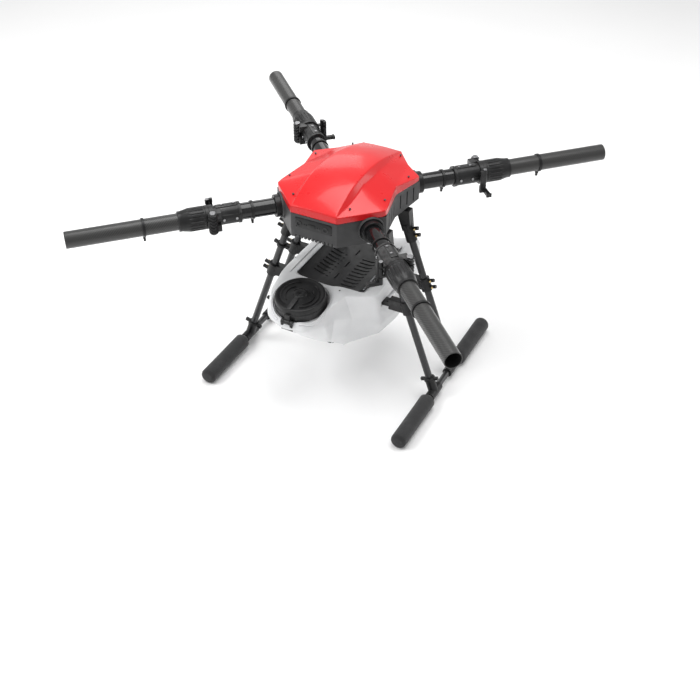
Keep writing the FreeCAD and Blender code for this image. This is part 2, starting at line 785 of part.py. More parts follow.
def build_tank():
    """Hollow tank with a filler neck, a trough for the battery tray and its outlet."""
    outer = feature(tank_form(0.0), "TankOuter")
    inner = feature(tank_form(d.tank_wall), "TankInner")
    trough, trough_wall = tray_seat()
    step = tilted(cylinder((0, 0, -2.0), "dims.cap_radius + 5", 60.0))
    step_wall = tilted(cylinder((0, 0, -2.0 - d.tank_wall), "dims.cap_radius + 8", 60.0))
    hollow = cut(inner, trough_wall, step_wall, *rail_grooves(d.tank_wall))
    shell = cut(outer, hollow, trough, step, *rail_grooves(0.0))
    collar = tilted(cylinder((0, 0, -8.0), "dims.neck_radius", 33.0))
    foot = d.cap_hinge_z - 22.0
    ears = [box((-16.0, d.cap_hinge_y - 6.0, foot), (32.0, 20.0, 12.0))]
    for start in (-16.0, 8.0):
        ears.append(box((start, d.cap_hinge_y - 6.0, foot), (8.0, 12.0, 22.0)))
        ears.append(cap_hinge_round(start, 8.0))
    ear_gap = 0.5
    lug_space = tilted(cap_hinge_round(ear_gap - 8.0, 16.0 - 2 * ear_gap, "dims.cap_hinge_radius + 1"))
    bore = tilted(cylinder((0, 0, -20.0), "dims.neck_radius - 4", 60.0))
    pin_hole = tilted(cap_hinge_round(-20.0, 40.0, "dims.cap_pin_radius"))
    outlet_low = d.tank_bottom - 15.0
    outlet_hole = cylinder((d.outlet_x, d.outlet_y, outlet_low), 9.0, 40.0)
    body = fuse(cut(shell, lug_space), collar, *[tilted(ear) for ear in ears])
    node("spray_tank", cut(body, bore, outlet_hole, pin_hole))
    node("cap_hinge_pin", tilted(cap_hinge_round(-17.0, 34.0, "dims.cap_pin_radius")))
    outlet = fuse(
        cylinder((d.outlet_x, d.outlet_y, outlet_low), "dims.outlet_radius", 14.5),
        cylinder((d.outlet_x, d.outlet_y, outlet_low + 14.0), 9.0, 12.0),
    )
    drain = cylinder((d.outlet_x, d.outlet_y, outlet_low - 1.0), 6.0, 40.0)
    node("tank_outlet", cut(outlet, drain))


def build_cap():
    """Filler cap: a dished lid with a middle boss and a strap to its hinge, and its seal."""
    height = d.cap_top - d.cap_base
    thickness = 4.0
    half_lug = 7.5
    lid = cut(
        fuse(
            cylinder((0, 0, 0), "dims.cap_radius", height),
            cylinder((0, 0, height), 14.0, 3.0),
            box((-7.0, -60.0, height), (14.0, 50.0, 3.0)),
            box((-half_lug, d.cap_hinge_y, d.cap_hinge_z), (2 * half_lug, 14.0, 18.0)),
            cap_hinge_round(-half_lug, 2 * half_lug),
        ),
        cylinder((0, 0, -1.0), "dims.cap_radius - 4", height - thickness + 1.0),
        cap_hinge_round(-20.0, 40.0, "dims.cap_pin_radius + 0.05"),
    )
    node("filler_cap", lid, cap_frame())
    seal = ring((0, 0, height - thickness - 3.0), "dims.neck_radius + 2", "dims.neck_radius - 4", 3.0, "z")
    node("cap_seal", seal, cap_frame())


# ---------------------------------------------------------------- landing gear
CORNERS = {
    "front_right": (1, -1),
    "rear_right": (1, 1),
    "front_left": (-1, -1),
    "rear_left": (-1, 1),
}


# Side outline of the bracket that hangs a leg from the hull's floor.
TOP_BRACKET = ((104.0, 458.0), (140.0, 458.0), (146.0, 400.0), (124.0, 400.0))


def leg_frame(side, fore):
    """Frame of a leg: +Z up along the tube, +X away from the tank."""
    rise = d.leg_top_z - d.skid_height
    lean = math.degrees(math.atan2(d.skid_half_span - d.leg_top_x, rise))
    turn = Rotation(Y_AXIS, -lean) if side > 0 else Rotation(Z_AXIS, 180).multiply(Rotation(Y_AXIS, -lean))
    return Placement(Vector(side * d.skid_half_span, fore * d.leg_y, d.skid_height), turn)


def leg_length():
    return math.hypot(d.skid_half_span - d.leg_top_x, d.leg_top_z - d.skid_height)


def boss_pair(height):
    """Two round bosses on the outer side of a leg clamp."""
    return [cylinder((10.0, 0, height + step), 4.8, 17.0, "x") for step in (-9.0, 9.0)]


def leg_clamp(low, high):
    """A clamp sleeve round a leg with its two bosses."""
    middle = (low + high) / 2
    return [cylinder((0, 0, low), 14.0, high - low), *boss_pair(middle)]


def build_legs():
    """Legs, their clamps and inserts, the skid joints, the skid tubes and the foam pads."""
    length = leg_length()
    upper, middle, tees, inserts, rings = [], [], [], [], []
    for corner, (side, fore) in CORNERS.items():
        frame = leg_frame(side, fore)
        leg = ring((0, 0, 14.0), "dims.leg_radius", "dims.leg_radius - 1.5", length + 8.0, "z")
        node("leg_" + corner, leg, frame)
        bore = cylinder((0, 0, -5.0), "dims.leg_radius", length + 60.0)
        bore.Placement = frame.multiply(bore.Placement)

        top = fuse(*leg_clamp(length - 34.0, length + 12.0))
        top.Placement = frame
        bracket = [(side * x, z) for x, z in TOP_BRACKET]
        block = extruded(bracket, 22.0, "y", fore * d.leg_y - 11.0, "Bracket")
        upper.append(cut(fuse(top, block), bore))

        rail_middle = (d.rail_low + d.rail_high) / 2
        clamp_at = (rail_middle - d.skid_height) / (d.leg_top_z - d.skid_height) * length
        sleeve = fuse(*leg_clamp(clamp_at - 17.0, clamp_at + 17.0))
        sleeve.Placement = frame
        blocks = []
        rail_height = d.rail_high - d.rail_low
        for near, far, low, height in (
            (143.0, 184.0, d.rail_low - 8.0, rail_height + 16.0),
            (d.rail_reach, 150.0, d.rail_low, rail_height),
        ):
            low_x = near if side > 0 else -far
            blocks.append(box((low_x, fore * d.leg_y - 10.0, low), (far - near, 20.0, height)))
        middle.append(cut(fuse(sleeve, *blocks), bore))

        for at in (length - 11.0, clamp_at):
            for step in (-9.0, 9.0):
                insert = cylinder((19.0, -7.3, at + step), 2.4, 2.5, "y")
                insert.Placement = frame.multiply(insert.Placement)
                inserts.append(insert)

        stub = cylinder((0, 0, 0), "dims.tee_radius", 46.0)
        band = cylinder((0, 0, 36.0), "dims.tee_radius + 2", 8.0)
        lugs = box((-24.0, -4.0, 36.0), (48.0, 8.0, 8.0))
        stub_group = fuse(stub, band, lugs)
        stub_group.Placement = frame
        place = (side * d.skid_half_span, fore * d.leg_y - 28.0, d.skid_height)
        barrel = cylinder(place, "dims.tee_radius", 56.0, "y")
        skid_bore = cylinder((place[0], place[1] - 1, place[2]), "dims.skid_radius", 58.0, "y")
        leg_bore = cylinder((0, 0, 14.0), "dims.leg_radius", 60.0)
        leg_bore.Placement = frame.multiply(leg_bore.Placement)
        tees.append(cut(fuse(barrel, stub_group), skid_bore, leg_bore))

        if fore < 0:
            at = (336.0 - d.skid_height) / (d.leg_top_z - d.skid_height) * length
            collar = cut(
                fuse(cylinder((0, 0, at - 4.0), 13.0, 8.0), box((-22.0, -3.5, at - 4.0), (44.0, 7.0, 8.0))),
                cylinder((0, 0, at - 6.0), "dims.leg_radius", 12.0),
            )
            collar.Placement = frame
            rings.append(collar)
    node("leg_top_clamps", group(*upper))
    node("leg_tank_clamps", group(*middle))
    node("thread_inserts", group(*inserts))
    node("skid_joints", group(*tees))
    node("leg_cable_rings", group(*rings))

    skids = []
    for side, name in ((1, "right"), (-1, "left")):
        x = side * d.skid_half_span
        base = (x, -d.skid_half_length, d.skid_height)
        skids.append(ring(base, "dims.skid_radius", "dims.skid_radius - 1.5", 2 * d.skid_half_length, "y"))
        node("foam_pads_" + name, group(foam_pad(x, -1), foam_pad(x, 1)))
    node("skid_tubes", group(*skids))


def foam_pad(x, fore):
    """Foam sleeve on a skid tube, with a flat underside, a tapered shoulder and a closed outer end."""
    shoulder = 10.0
    tip = 8.0
    body_length = d.pad_end - d.pad_start - shoulder - tip
    turn = Rotation() if fore > 0 else Rotation(Z_AXIS, 180)
    pieces = fuse(
        cone((0, d.pad_start, 0), 13.0, "dims.pad_radius", shoulder, "y"),
        cylinder((0, d.pad_start + shoulder, 0), "dims.pad_radius", body_length, "y"),
        cone((0, d.pad_end - tip, 0), "dims.pad_radius", 14.0, tip, "y"),
    )
    bore = cylinder((0, d.pad_start - 1.0, 0), "dims.skid_radius", d.skid_half_length - d.pad_start + 1.0, "y")
    under = box((-30.0, 0.0, -d.skid_height - 10.0), (60.0, 300.0, 10.0))
    pad = cut(pieces, bore, under)
    pad.Placement = Placement(Vector(x, 0, d.skid_height), turn)
    return pad


# ---------------------------------------------------------------- build and write
build_arms()
build_hull()
build_front_panel()
build_canopy()
build_inner_frame()
build_tray()
build_tank()
build_cap()
build_legs()
doc.recompute()

for obj in doc.Objects:
    if "Invalid" in obj.State or "Error" in obj.State:
        raise RuntimeError(f"{obj.Label} failed: {obj.State}")
for obj in nodes:
    if obj.Shape.isNull() or not obj.Shape.isValid():
        raise RuntimeError(f"{obj.Label} has no valid shape")
    obj.Shape.exportStep(f"parts/{obj.Label}.step")
print(len(nodes), "sub-parts written")
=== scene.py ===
import json
import math

import bmesh
import bpy
from mathutils import Matrix, Vector
from mathutils.bvhtree import BVHTree


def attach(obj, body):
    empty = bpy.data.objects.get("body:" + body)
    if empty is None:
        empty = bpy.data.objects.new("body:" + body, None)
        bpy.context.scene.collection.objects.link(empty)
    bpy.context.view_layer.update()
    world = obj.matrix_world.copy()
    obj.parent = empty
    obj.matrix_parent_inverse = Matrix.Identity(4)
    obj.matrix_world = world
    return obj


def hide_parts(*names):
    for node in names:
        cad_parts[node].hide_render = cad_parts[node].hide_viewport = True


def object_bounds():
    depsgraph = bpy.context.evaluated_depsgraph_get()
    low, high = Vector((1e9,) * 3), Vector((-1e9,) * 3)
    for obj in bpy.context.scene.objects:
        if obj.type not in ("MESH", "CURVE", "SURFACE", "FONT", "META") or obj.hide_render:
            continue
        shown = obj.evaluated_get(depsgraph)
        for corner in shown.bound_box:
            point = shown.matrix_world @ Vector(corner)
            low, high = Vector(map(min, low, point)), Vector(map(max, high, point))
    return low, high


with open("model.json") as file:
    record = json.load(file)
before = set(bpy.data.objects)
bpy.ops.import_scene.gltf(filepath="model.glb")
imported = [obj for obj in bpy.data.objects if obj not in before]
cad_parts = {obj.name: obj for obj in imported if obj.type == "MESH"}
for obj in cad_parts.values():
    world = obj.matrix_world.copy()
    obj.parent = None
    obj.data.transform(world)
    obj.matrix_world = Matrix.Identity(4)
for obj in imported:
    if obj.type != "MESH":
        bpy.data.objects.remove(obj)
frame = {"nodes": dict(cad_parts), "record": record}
cad_low, cad_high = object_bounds()

MM = 0.001
NODES = frame["nodes"]
BODY_OF = {
    node: body
    for body, members in frame["record"]["behaviour"]["bodies"].items()
    for node in members
}
SLOT_OF = {row["node"]: row["material_slot"] for row in frame["record"]["subparts"]}


# ---------------------------------------------------------------- shader helpers
class Shader:
    """A Principled material and short ways to add procedural nodes to it."""

    def __init__(self, name, **constants):
        self.material = bpy.data.materials.new(name)
        self.material.use_nodes = True
        self.tree = self.material.node_tree
        self.surface = self.tree.nodes["Principled BSDF"]
        self.height = None
        for socket, value in constants.items():
            self.surface.inputs[socket.replace("_", " ")].default_value = value

    def add(self, kind, **values):
        """A node with its numbered or named inputs set, or linked where the value is a socket."""
        made = self.tree.nodes.new(kind)
        for key, value in values.items():
            if hasattr(made, key):
                setattr(made, key, value)
            else:
                self.feed(made.inputs[key.replace("_", " ")], value)
        return made

    def feed(self, socket, value):
        if isinstance(value, bpy.types.NodeSocket):
            self.tree.links.new(value, socket)
        else:
            socket.default_value = value

    def math(self, operation, first, second=0.0):
        made = self.tree.nodes.new("ShaderNodeMath")
        made.operation = operation
        self.feed(made.inputs[0], first)
        self.feed(made.inputs[1], second)
        return made.outputs[0]

    def coordinates(self, output="Object"):
        return self.tree.nodes.new("ShaderNodeTexCoord").outputs[output]

    def noise(self, scale, detail=2.0, roughness=0.5, stretch=None):
        """Noise in the object's own coordinates, in features per metre."""
        vector = self.coordinates()
        if stretch is not None:
            mapping = self.add("ShaderNodeMapping")
            mapping.inputs["Scale"].default_value = stretch
            self.feed(mapping.inputs["Vector"], vector)
            vector = mapping.outputs[0]
        made = self.add("ShaderNodeTexNoise", Vector=vector, Scale=scale, Detail=detail)
        made.inputs["Roughness"].default_value = roughness
        return made.outputs["Fac"]

    def remap(self, value, low, high, to_low, to_high):
        made = self.add("ShaderNodeMapRange")
        for index, number in enumerate((value, low, high, to_low, to_high)):
            self.feed(made.inputs[index], number)
        return made.outputs[0]

    def blend(self, factor, first, second):
        """A colour between two colours."""
        made = self.tree.nodes.new("ShaderNodeMix")
        made.data_type = "RGBA"
        self.feed(made.inputs[0], factor)
        self.feed(made.inputs[6], first if isinstance(first, bpy.types.NodeSocket) else (*first, 1.0))
        self.feed(made.inputs[7], second if isinstance(second, bpy.types.NodeSocket) else (*second, 1.0))
        return made.outputs[2]

    def colour(self, socket):
        self.feed(self.surface.inputs["Base Color"], socket)

    def roughness(self, socket):
        self.feed(self.surface.inputs["Roughness"], socket)

    def bump(self, height, distance):
        """Adds a height pattern, in metres, on top of the earlier ones."""
        made = self.add("ShaderNodeBump", Strength=1.0, Distance=distance, Height=height)
        if self.height is not None:
            self.feed(made.inputs["Normal"], self.height)
        self.height = made.outputs["Normal"]
        self.feed(self.surface.inputs["Normal"], self.height)

    def worn_edges(self, colour, worn):
        """Rubs the colour towards worn where the surface is sharply convex."""
        start, end = 0.53, 0.60
        sharp = self.tree.nodes.new("ShaderNodeNewGeometry").outputs["Pointiness"]
        patchy = self.remap(self.noise(90.0, 4.0), 0.35, 0.7, 0.2, 1.0)
        amount = self.math("MULTIPLY", self.remap(sharp, start, end, 0.0, 0.6), patchy)
        return self.blend(amount, colour, worn)


def moulded(name, dark, light, rough, grain=1400.0, depth=0.00006, worn=None):
    """Injection-moulded plastic: mottled colour, fine spark-eroded grain and rubbed edges."""
    s = Shader(name, Specular_IOR_Level=0.32)
    tone = s.blend(s.remap(s.noise(35.0, 5.0), 0.3, 0.7, 0.0, 1.0), dark, light)
    s.colour(s.worn_edges(tone, worn) if worn else tone)
    s.roughness(s.remap(s.noise(60.0, 4.0), 0.3, 0.7, rough - 0.05, rough + 0.06))
    s.bump(s.noise(grain, 3.0, 0.6), depth)
    return s.material


def metal(name, colour, rough, brushed):
    """Machined metal with fine turning marks and slight staining."""
    s = Shader(name, Metallic=1.0)
    stain = s.remap(s.noise(120.0, 4.0), 0.35, 0.7, 0.0, 0.5)
    s.colour(s.blend(stain, colour, tuple(0.6 * c for c in colour)))
    marks = s.noise(900.0, 2.0, 0.6, stretch=brushed)
    s.roughness(s.remap(marks, 0.3, 0.7, rough - 0.07, rough + 0.1))
    s.bump(marks, 0.00002)
    return s.material


def red_paint():
    """Glossy red lacquer with orange peel and a faint drift in tone and sheen."""
    s = Shader("red_paint", Coat_Weight=0.3, Coat_Roughness=0.10, Specular_IOR_Level=0.3)
    drift = s.remap(s.noise(6.0, 3.0), 0.3, 0.7, 0.0, 1.0)
    s.colour(s.blend(drift, (0.58, 0.005, 0.008), (0.65, 0.008, 0.011)))
    s.roughness(s.remap(s.noise(25.0, 4.0), 0.3, 0.7, 0.26, 0.34))
    s.bump(s.noise(260.0, 1.0), 0.00003)
    return s.material


def weave(s, along, around):
    """Two-by-two twill: returns which tow is on top and the crown of that tow."""
    tows = 4.0
    warp = s.math("MULTIPLY", along, tows)
    weft = s.math("MULTIPLY", around, tows)
    step = s.math("ADD", s.math("FLOOR", warp), s.math("FLOOR", weft))
    over = s.math("LESS_THAN", s.math("FLOORED_MODULO", step, tows), 1.5)
    crowns = []
    for position in (warp, weft):
        share = s.math("FRACT", position)
        crowns.append(s.math("SINE", s.math("MULTIPLY", share, math.pi)))
    mix = s.tree.nodes.new("ShaderNodeMix")
    s.feed(mix.inputs[0], over)
    s.feed(mix.inputs[2], crowns[0])
    s.feed(mix.inputs[3], crowns[1])
    return over, mix.outputs[0]


def carbon_tube():
    """Carbon twill wound along a tube, under satin lacquer; the weave follows the tube's own map. The tow on
    top is painted lighter than the other as a painted sheen, and each tow is painted darker towards its edges
    as painted shade.
    """
    s = Shader("carbon_tube", Coat_Weight=0.25, Coat_Roughness=0.18)
    place = s.add("ShaderNodeSeparateXYZ")
    s.feed(place.inputs[0], s.coordinates("UV"))
    over, crown = weave(s, place.outputs[0], place.outputs[1])
    # Painted sheen: the tow on top is lighter, standing in for the glint of the fibres.
    tone = s.blend(over, (0.012, 0.0118, 0.0115), (0.042, 0.0415, 0.040))
    # Painted shade: each tow darkens towards its edges, where the weave dips.
    tows_with_painted_sheen_and_shade = s.blend(s.remap(crown, 0.0, 0.5, 0.3, 1.0), (0.010, 0.010, 0.010), tone)
    s.colour(s.blend(s.remap(s.noise(14.0, 3.0), 0.3, 0.7, 0.0, 0.25), tows_with_painted_sheen_and_shade, (0.03, 0.03, 0.03)))
    s.roughness(s.math("ADD", s.math("MULTIPLY", over, -0.1), 0.42))
    s.bump(crown, 0.00006)
    return s.material


def carbon_plate():
    """Flat carbon sheet, its twill laid on the sheet's own plane. The tow on top is painted lighter as a
    painted sheen, and each tow is painted darker towards its edges as painted shade.
    """
    s = Shader("carbon_plate", Coat_Weight=0.3, Coat_Roughness=0.2)
    place = s.add("ShaderNodeSeparateXYZ")
    s.feed(place.inputs[0], s.coordinates())
    repeats_per_metre = 125.0
    along = s.math("MULTIPLY", place.outputs[0], repeats_per_metre)
    across = s.math("MULTIPLY", place.outputs[1], repeats_per_metre)
    over, crown = weave(s, along, across)
    # Painted sheen: the tow on top is lighter than the other one.
    tone = s.blend(over, (0.012, 0.012, 0.012), (0.05, 0.05, 0.05))
    # Painted shade: each tow darkens towards its edges, where the weave dips.
    s.colour(s.blend(crown, (0.006, 0.006, 0.006), tone))
    s.roughness(s.remap(s.noise(50.0, 3.0), 0.3, 0.7, 0.3, 0.42))
    s.bump(crown, 0.0001)
    return s.material


def gloss_tube():
    """Polished black inner tube: wrapped sheet under clear lacquer."""
    s = Shader("gloss_tube", Coat_Weight=0.55, Coat_Roughness=0.03, Specular_IOR_Level=0.2)
    streak = s.noise(240.0, 3.0, 0.6, stretch=(0.06, 1.0, 1.0))
    s.colour(s.blend(s.remap(streak, 0.35, 0.65, 0.0, 1.0), (0.005, 0.005, 0.0055), (0.012, 0.012, 0.0125)))
    s.roughness(s.remap(s.noise(30.0, 4.0), 0.3, 0.7, 0.10, 0.16))
    return s.material


def leg_tube():
    """Dark drawn tube with long fine draw marks and a few scuffs."""
    s = Shader("leg_tube", Metallic=0.35, Coat_Weight=0.3, Coat_Roughness=0.2)
    marks = s.noise(500.0, 3.0, 0.6, stretch=(1.0, 1.0, 0.04))
    tone = s.blend(s.remap(marks, 0.35, 0.65, 0.0, 1.0), (0.016, 0.016, 0.017), (0.030, 0.030, 0.032))
    scuff = s.remap(s.noise(45.0, 6.0, 0.7), 0.66, 0.76, 0.0, 0.35)
    s.colour(s.blend(scuff, tone, (0.08, 0.08, 0.08)))
    s.roughness(s.remap(marks, 0.3, 0.7, 0.26, 0.38))
    s.bump(marks, 0.00002)
    return s.material


def tank_plastic():
    """Blow-moulded translucent white polythene: cloudy, waxy, slightly uneven wall."""
    s = Shader("tank_plastic", Subsurface_Weight=0.35, Subsurface_Scale=0.012, Coat_Weight=0.1,
               Coat_Roughness=0.3)
    s.surface.inputs["Subsurface Radius"].default_value = (1.0, 1.0, 0.95)
    cloud = s.remap(s.noise(9.0, 5.0, 0.55), 0.3, 0.7, 0.0, 1.0)
    s.colour(s.blend(cloud, (0.70, 0.705, 0.715), (0.80, 0.805, 0.81)))
    s.roughness(s.remap(s.noise(22.0, 4.0), 0.3, 0.7, 0.32, 0.46))
    s.bump(s.noise(28.0, 3.0), 0.0006)
    s.bump(s.noise(700.0, 2.0), 0.00004)
    return s.material


def foam():
    """Closed-cell foam sleeve: matt and pitted."""
    s = Shader("foam", Sheen_Weight=0.15, Sheen_Roughness=0.6, Specular_IOR_Level=0.25)
    cells = s.add("ShaderNodeTexVoronoi", Vector=s.coordinates(), Scale=520.0).outputs["Distance"]
    tone = s.blend(s.remap(s.noise(40.0, 5.0), 0.3, 0.7, 0.0, 1.0), (0.018, 0.018, 0.019),
                   (0.030, 0.030, 0.031))
    # Painted shade: the pits of the cells are painted darker.
    s.colour(s.blend(s.remap(cells, 0.0, 0.55, 0.0, 1.0), (0.016, 0.016, 0.016), tone))
    s.roughness(s.remap(cells, 0.0, 0.6, 0.95, 0.8))
    s.bump(cells, 0.00035)
    s.bump(s.noise(55.0, 3.0), 0.0008)
    return s.material


def circuit_board():
    """Green board with faint square tracks."""
    s = Shader("circuit_board", Coat_Weight=0.4, Coat_Roughness=0.15)
    brick = s.add("ShaderNodeTexBrick", Vector=s.coordinates(), Scale=90.0)
    s.colour(s.blend(brick.outputs["Fac"], (0.012, 0.10, 0.045), (0.03, 0.16, 0.07)))
    s.roughness(s.remap(s.noise(80.0, 2.0), 0.3, 0.7, 0.35, 0.5))
    return s.material


def floor_sheet():
    """Pale matt studio floor."""
    s = Shader("floor_sheet", Specular_IOR_Level=0.15)
    s.colour(s.blend(s.remap(s.noise(2.0, 3.0), 0.3, 0.7, 0.0, 1.0), (0.93, 0.93, 0.93), (0.95, 0.95, 0.95)))
    s.roughness(s.remap(s.noise(20.0, 3.0), 0.3, 0.7, 0.75, 0.9))
    return s.material


MATERIALS = {
    "red_paint": red_paint(),
    "hull_plastic": moulded("hull_plastic", (0.034, 0.034, 0.035), (0.046, 0.046, 0.047), 0.45,
                            worn=(0.10, 0.10, 0.10)),
    "black_moulding": moulded("black_moulding", (0.005, 0.005, 0.0055), (0.009, 0.009, 0.0095), 0.33,
                              grain=1800.0, depth=0.00004, worn=(0.06, 0.06, 0.06)),
    "clamp_plastic": moulded("clamp_plastic", (0.010, 0.010, 0.0105), (0.017, 0.017, 0.0175), 0.33,
                             grain=1500.0, worn=(0.09, 0.09, 0.09)),
    "gloss_tube": gloss_tube(),
    "carbon": carbon_plate(),
    "carbon_tube": carbon_tube(),
    "leg_tube": leg_tube(),
    "tray_plastic": moulded("tray_plastic", (0.026, 0.026, 0.027), (0.038, 0.038, 0.039), 0.40,
                            worn=(0.14, 0.14, 0.14)),
    "tank_plastic": tank_plastic(),
    "cap_plastic": moulded("cap_plastic", (0.009, 0.009, 0.0095), (0.015, 0.015, 0.0155), 0.38,
                           grain=1200.0, worn=(0.07, 0.07, 0.07)),
    "seal_rubber": moulded("seal_rubber", (0.012, 0.012, 0.012), (0.020, 0.020, 0.020), 0.75),
    "foam": foam(),
    "steel": metal("steel", (0.36, 0.36, 0.37), 0.32, (1.0, 1.0, 0.1)),
    "dark_screw": metal("dark_screw", (0.10, 0.10, 0.11), 0.32, (1.0, 1.0, 0.1)),
    "brass": metal("brass", (0.80, 0.60, 0.26), 0.28, (1.0, 1.0, 0.1)),
    "aluminium": metal("aluminium", (0.62, 0.63, 0.65), 0.32, (1.0, 0.1, 1.0)),
    "circuit_board": circuit_board(),
}


# ---------------------------------------------------------------- mesh helpers
def finished(mesh_tools, name, body, slot, material=None, place=None, smooth=35.0):
    """Turns mesh code into a piece on a body, smooth except across sharp edges."""
    mesh = bpy.data.meshes.new(name)
    mesh_tools.normal_update()
    mesh_tools.to_mesh(mesh)
    mesh_tools.free()
    mesh.materials.append(MATERIALS[material or slot])
    mesh.shade_smooth()
    mesh.set_sharp_from_angle(angle=math.radians(smooth))
    piece = bpy.data.objects.new(name, mesh)
    bpy.context.scene.collection.objects.link(piece)
    if place is not None:
        piece.matrix_world = place
    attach(piece, body)
    return piece


def add_modifier(piece, kind, **values):
    made = piece.modifiers.new(kind.title(), kind)
    for key, value in values.items():
        setattr(made, key, value)
    return made


def refined(node, bevel, segments):
    """A finished copy of a CAD node: flat faces joined up again and its edges rounded."""
    mesh_tools = bmesh.new()
    mesh_tools.from_mesh(NODES[node].data)
    bmesh.ops.remove_doubles(mesh_tools, verts=mesh_tools.verts, dist=2e-6)
    bmesh.ops.dissolve_limit(mesh_tools, angle_limit=math.radians(0.6), verts=mesh_tools.verts,
                             edges=mesh_tools.edges)
    piece = finished(mesh_tools, node + "_finish", BODY_OF[node], SLOT_OF[node])
    add_modifier(piece, "BEVEL", width=bevel, segments=segments, limit_method="ANGLE",
                 angle_limit=math.radians(28.0), harden_normals=True, use_clamp_overlap=True)
    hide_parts(node)


def turned(profile, segments=64, mesh_tools=None, uv_repeats=None, repeat_length=None, closed=True):
    """Turns a profile of (along X, radius) round the X axis; uv_repeats maps a weave onto it."""
    mesh_tools = mesh_tools or bmesh.new()
    rings = []
    for x, radius in profile:
        ring = []
        for index in range(segments):
            angle = 2 * math.pi * index / segments
            ring.append(mesh_tools.verts.new((x, radius * math.cos(angle), radius * math.sin(angle))))
        rings.append(ring)
    pairs = list(zip(rings, rings[1:]))
    if closed:
        pairs.append((rings[-1], rings[0]))
    layer = mesh_tools.loops.layers.uv.verify() if uv_repeats else None
    for low, high in pairs:
        for index in range(segments):
            after = (index + 1) % segments
            face = mesh_tools.faces.new((low[index], low[after], high[after], high[index]))
            if layer is None:
                continue
            shares = (index, index + 1, index + 1, index)
            for loop, share in zip(face.loops, shares):
                loop[layer].uv = (loop.vert.co.x / repeat_length, share / segments * uv_repeats)
    return mesh_tools


def scaled(profile):
    """A profile in millimetres, in metres."""
    return [(along * MM, radius * MM) for along, radius in profile]


def placed(mesh_tools, before, matrix):
    """Moves the vertices that were added since before."""
    fresh = [v for v in mesh_tools.verts if v not in before]
    bmesh.ops.transform(mesh_tools, matrix=matrix, verts=fresh)


UPRIGHT = Matrix.Rotation(math.radians(-90.0), 4, "Y")


def rounded_prism(mesh_tools, outline, low, high, bevel, segments=2):
    """A prism of an outline in X and Y, from low to high, with its rims rounded."""
    before_faces = set(mesh_tools.faces)
    bottom = [mesh_tools.verts.new((x, y, low)) for x, y in outline]
    top = [mesh_tools.verts.new((x, y, high)) for x, y in outline]
    count = len(outline)
    mesh_tools.faces.new(list(reversed(bottom)))
    mesh_tools.faces.new(top)
    for index in range(count):
        after = (index + 1) % count
        mesh_tools.faces.new((bottom[index], bottom[after], top[after], top[index]))
    fresh = [f for f in mesh_tools.faces if f not in before_faces]
    rims = {e for f in fresh for e in f.edges
            if all(v in top for v in e.verts) or all(v in bottom for v in e.verts)}
    bmesh.ops.bevel(mesh_tools, geom=list(rims), offset=bevel, segments=segments, affect="EDGES",
                    profile=0.5)


def rounded_rectangle(half_x, half_y, radius, steps=5):
    """Outline of a rectangle with round corners."""
    outline = []
    for corner, (sx, sy) in enumerate(((1, 1), (-1, 1), (-1, -1), (1, -1))):
        for step in range(steps + 1):
            angle = math.pi / 2 * (corner + step / steps)
            outline.append((sx * (half_x - radius) + radius * math.cos(angle),
                            sy * (half_y - radius) + radius * math.sin(angle)))
    return outline


# ---------------------------------------------------------------- camera, light and floor
def facing(azimuth, elevation):
    """The turn of a camera or lamp that looks down by an elevation; azimuth 0 looks along +Y."""
    turn = Matrix.Rotation(math.radians(azimuth), 4, "Z")
    return turn @ Matrix.Rotation(math.radians(90.0 - elevation), 4, "X")


def look_from(azimuth, elevation, distance, target):
    """A matrix that looks at a target from a distance."""
    spin = facing(azimuth, elevation)
    return Matrix.Translation(Vector(target) + spin.to_3x3() @ Vector((0, 0, distance))) @ spin


def build_camera():
    camera = bpy.data.objects.new("Camera", bpy.data.cameras.new("Camera"))
    camera.data.lens = 60.48
    camera.data.sensor_width = 36.0
    camera.matrix_world = Matrix.Translation((1.1245, -2.1841, 1.9427)) @ facing(27.17, 38.09)
    bpy.context.scene.collection.objects.link(camera)
    bpy.context.scene.camera = camera


def build_light():
    """A bright even surround, a soft key, an overhead sheet and two weak lights behind."""
    world = bpy.data.worlds.new("Studio")
    world.use_nodes = True
    background = world.node_tree.nodes["Background"]
    background.inputs["Color"].default_value = (1.0, 1.0, 1.0, 1.0)
    background.inputs["Strength"].default_value = 0.55
    bpy.context.scene.world = world
    target = (0.0, 0.0, 0.4)
    for name, azimuth, elevation, distance, power, width, depth in (
        ("Key", -52.0, 42.0, 3.0, 52.0, 1.6, 1.4),
        ("Overhead", 160.0, 80.0, 2.6, 54.0, 2.4, 1.6),
        ("Strip", 135.0, 14.0, 2.8, 10.0, 0.8, 1.6),
        ("Back", 215.0, 25.0, 3.0, 6.0, 1.4, 0.9),
    ):
        light = bpy.data.lights.new(name, "AREA")
        light.shape = "RECTANGLE"
        light.size = width
        light.size_y = depth
        light.energy = power
        lamp = bpy.data.objects.new(name, light)
        lamp.matrix_world = look_from(azimuth, elevation, distance, target)
        bpy.context.scene.collection.objects.link(lamp)
    bpy.context.scene.view_settings.view_transform = "Standard"


def build_floor():
    mesh_tools = bmesh.new()
    bmesh.ops.create_grid(mesh_tools, x_segments=2, y_segments=2, size=30.0)
    mesh = bpy.data.meshes.new("floor")
    mesh_tools.to_mesh(mesh)
    mesh_tools.free()
    mesh.materials.append(floor_sheet())
    floor = bpy.data.objects.new("floor", mesh)
    floor.location.z = cad_low.z
    bpy.context.scene.collection.objects.link(floor)


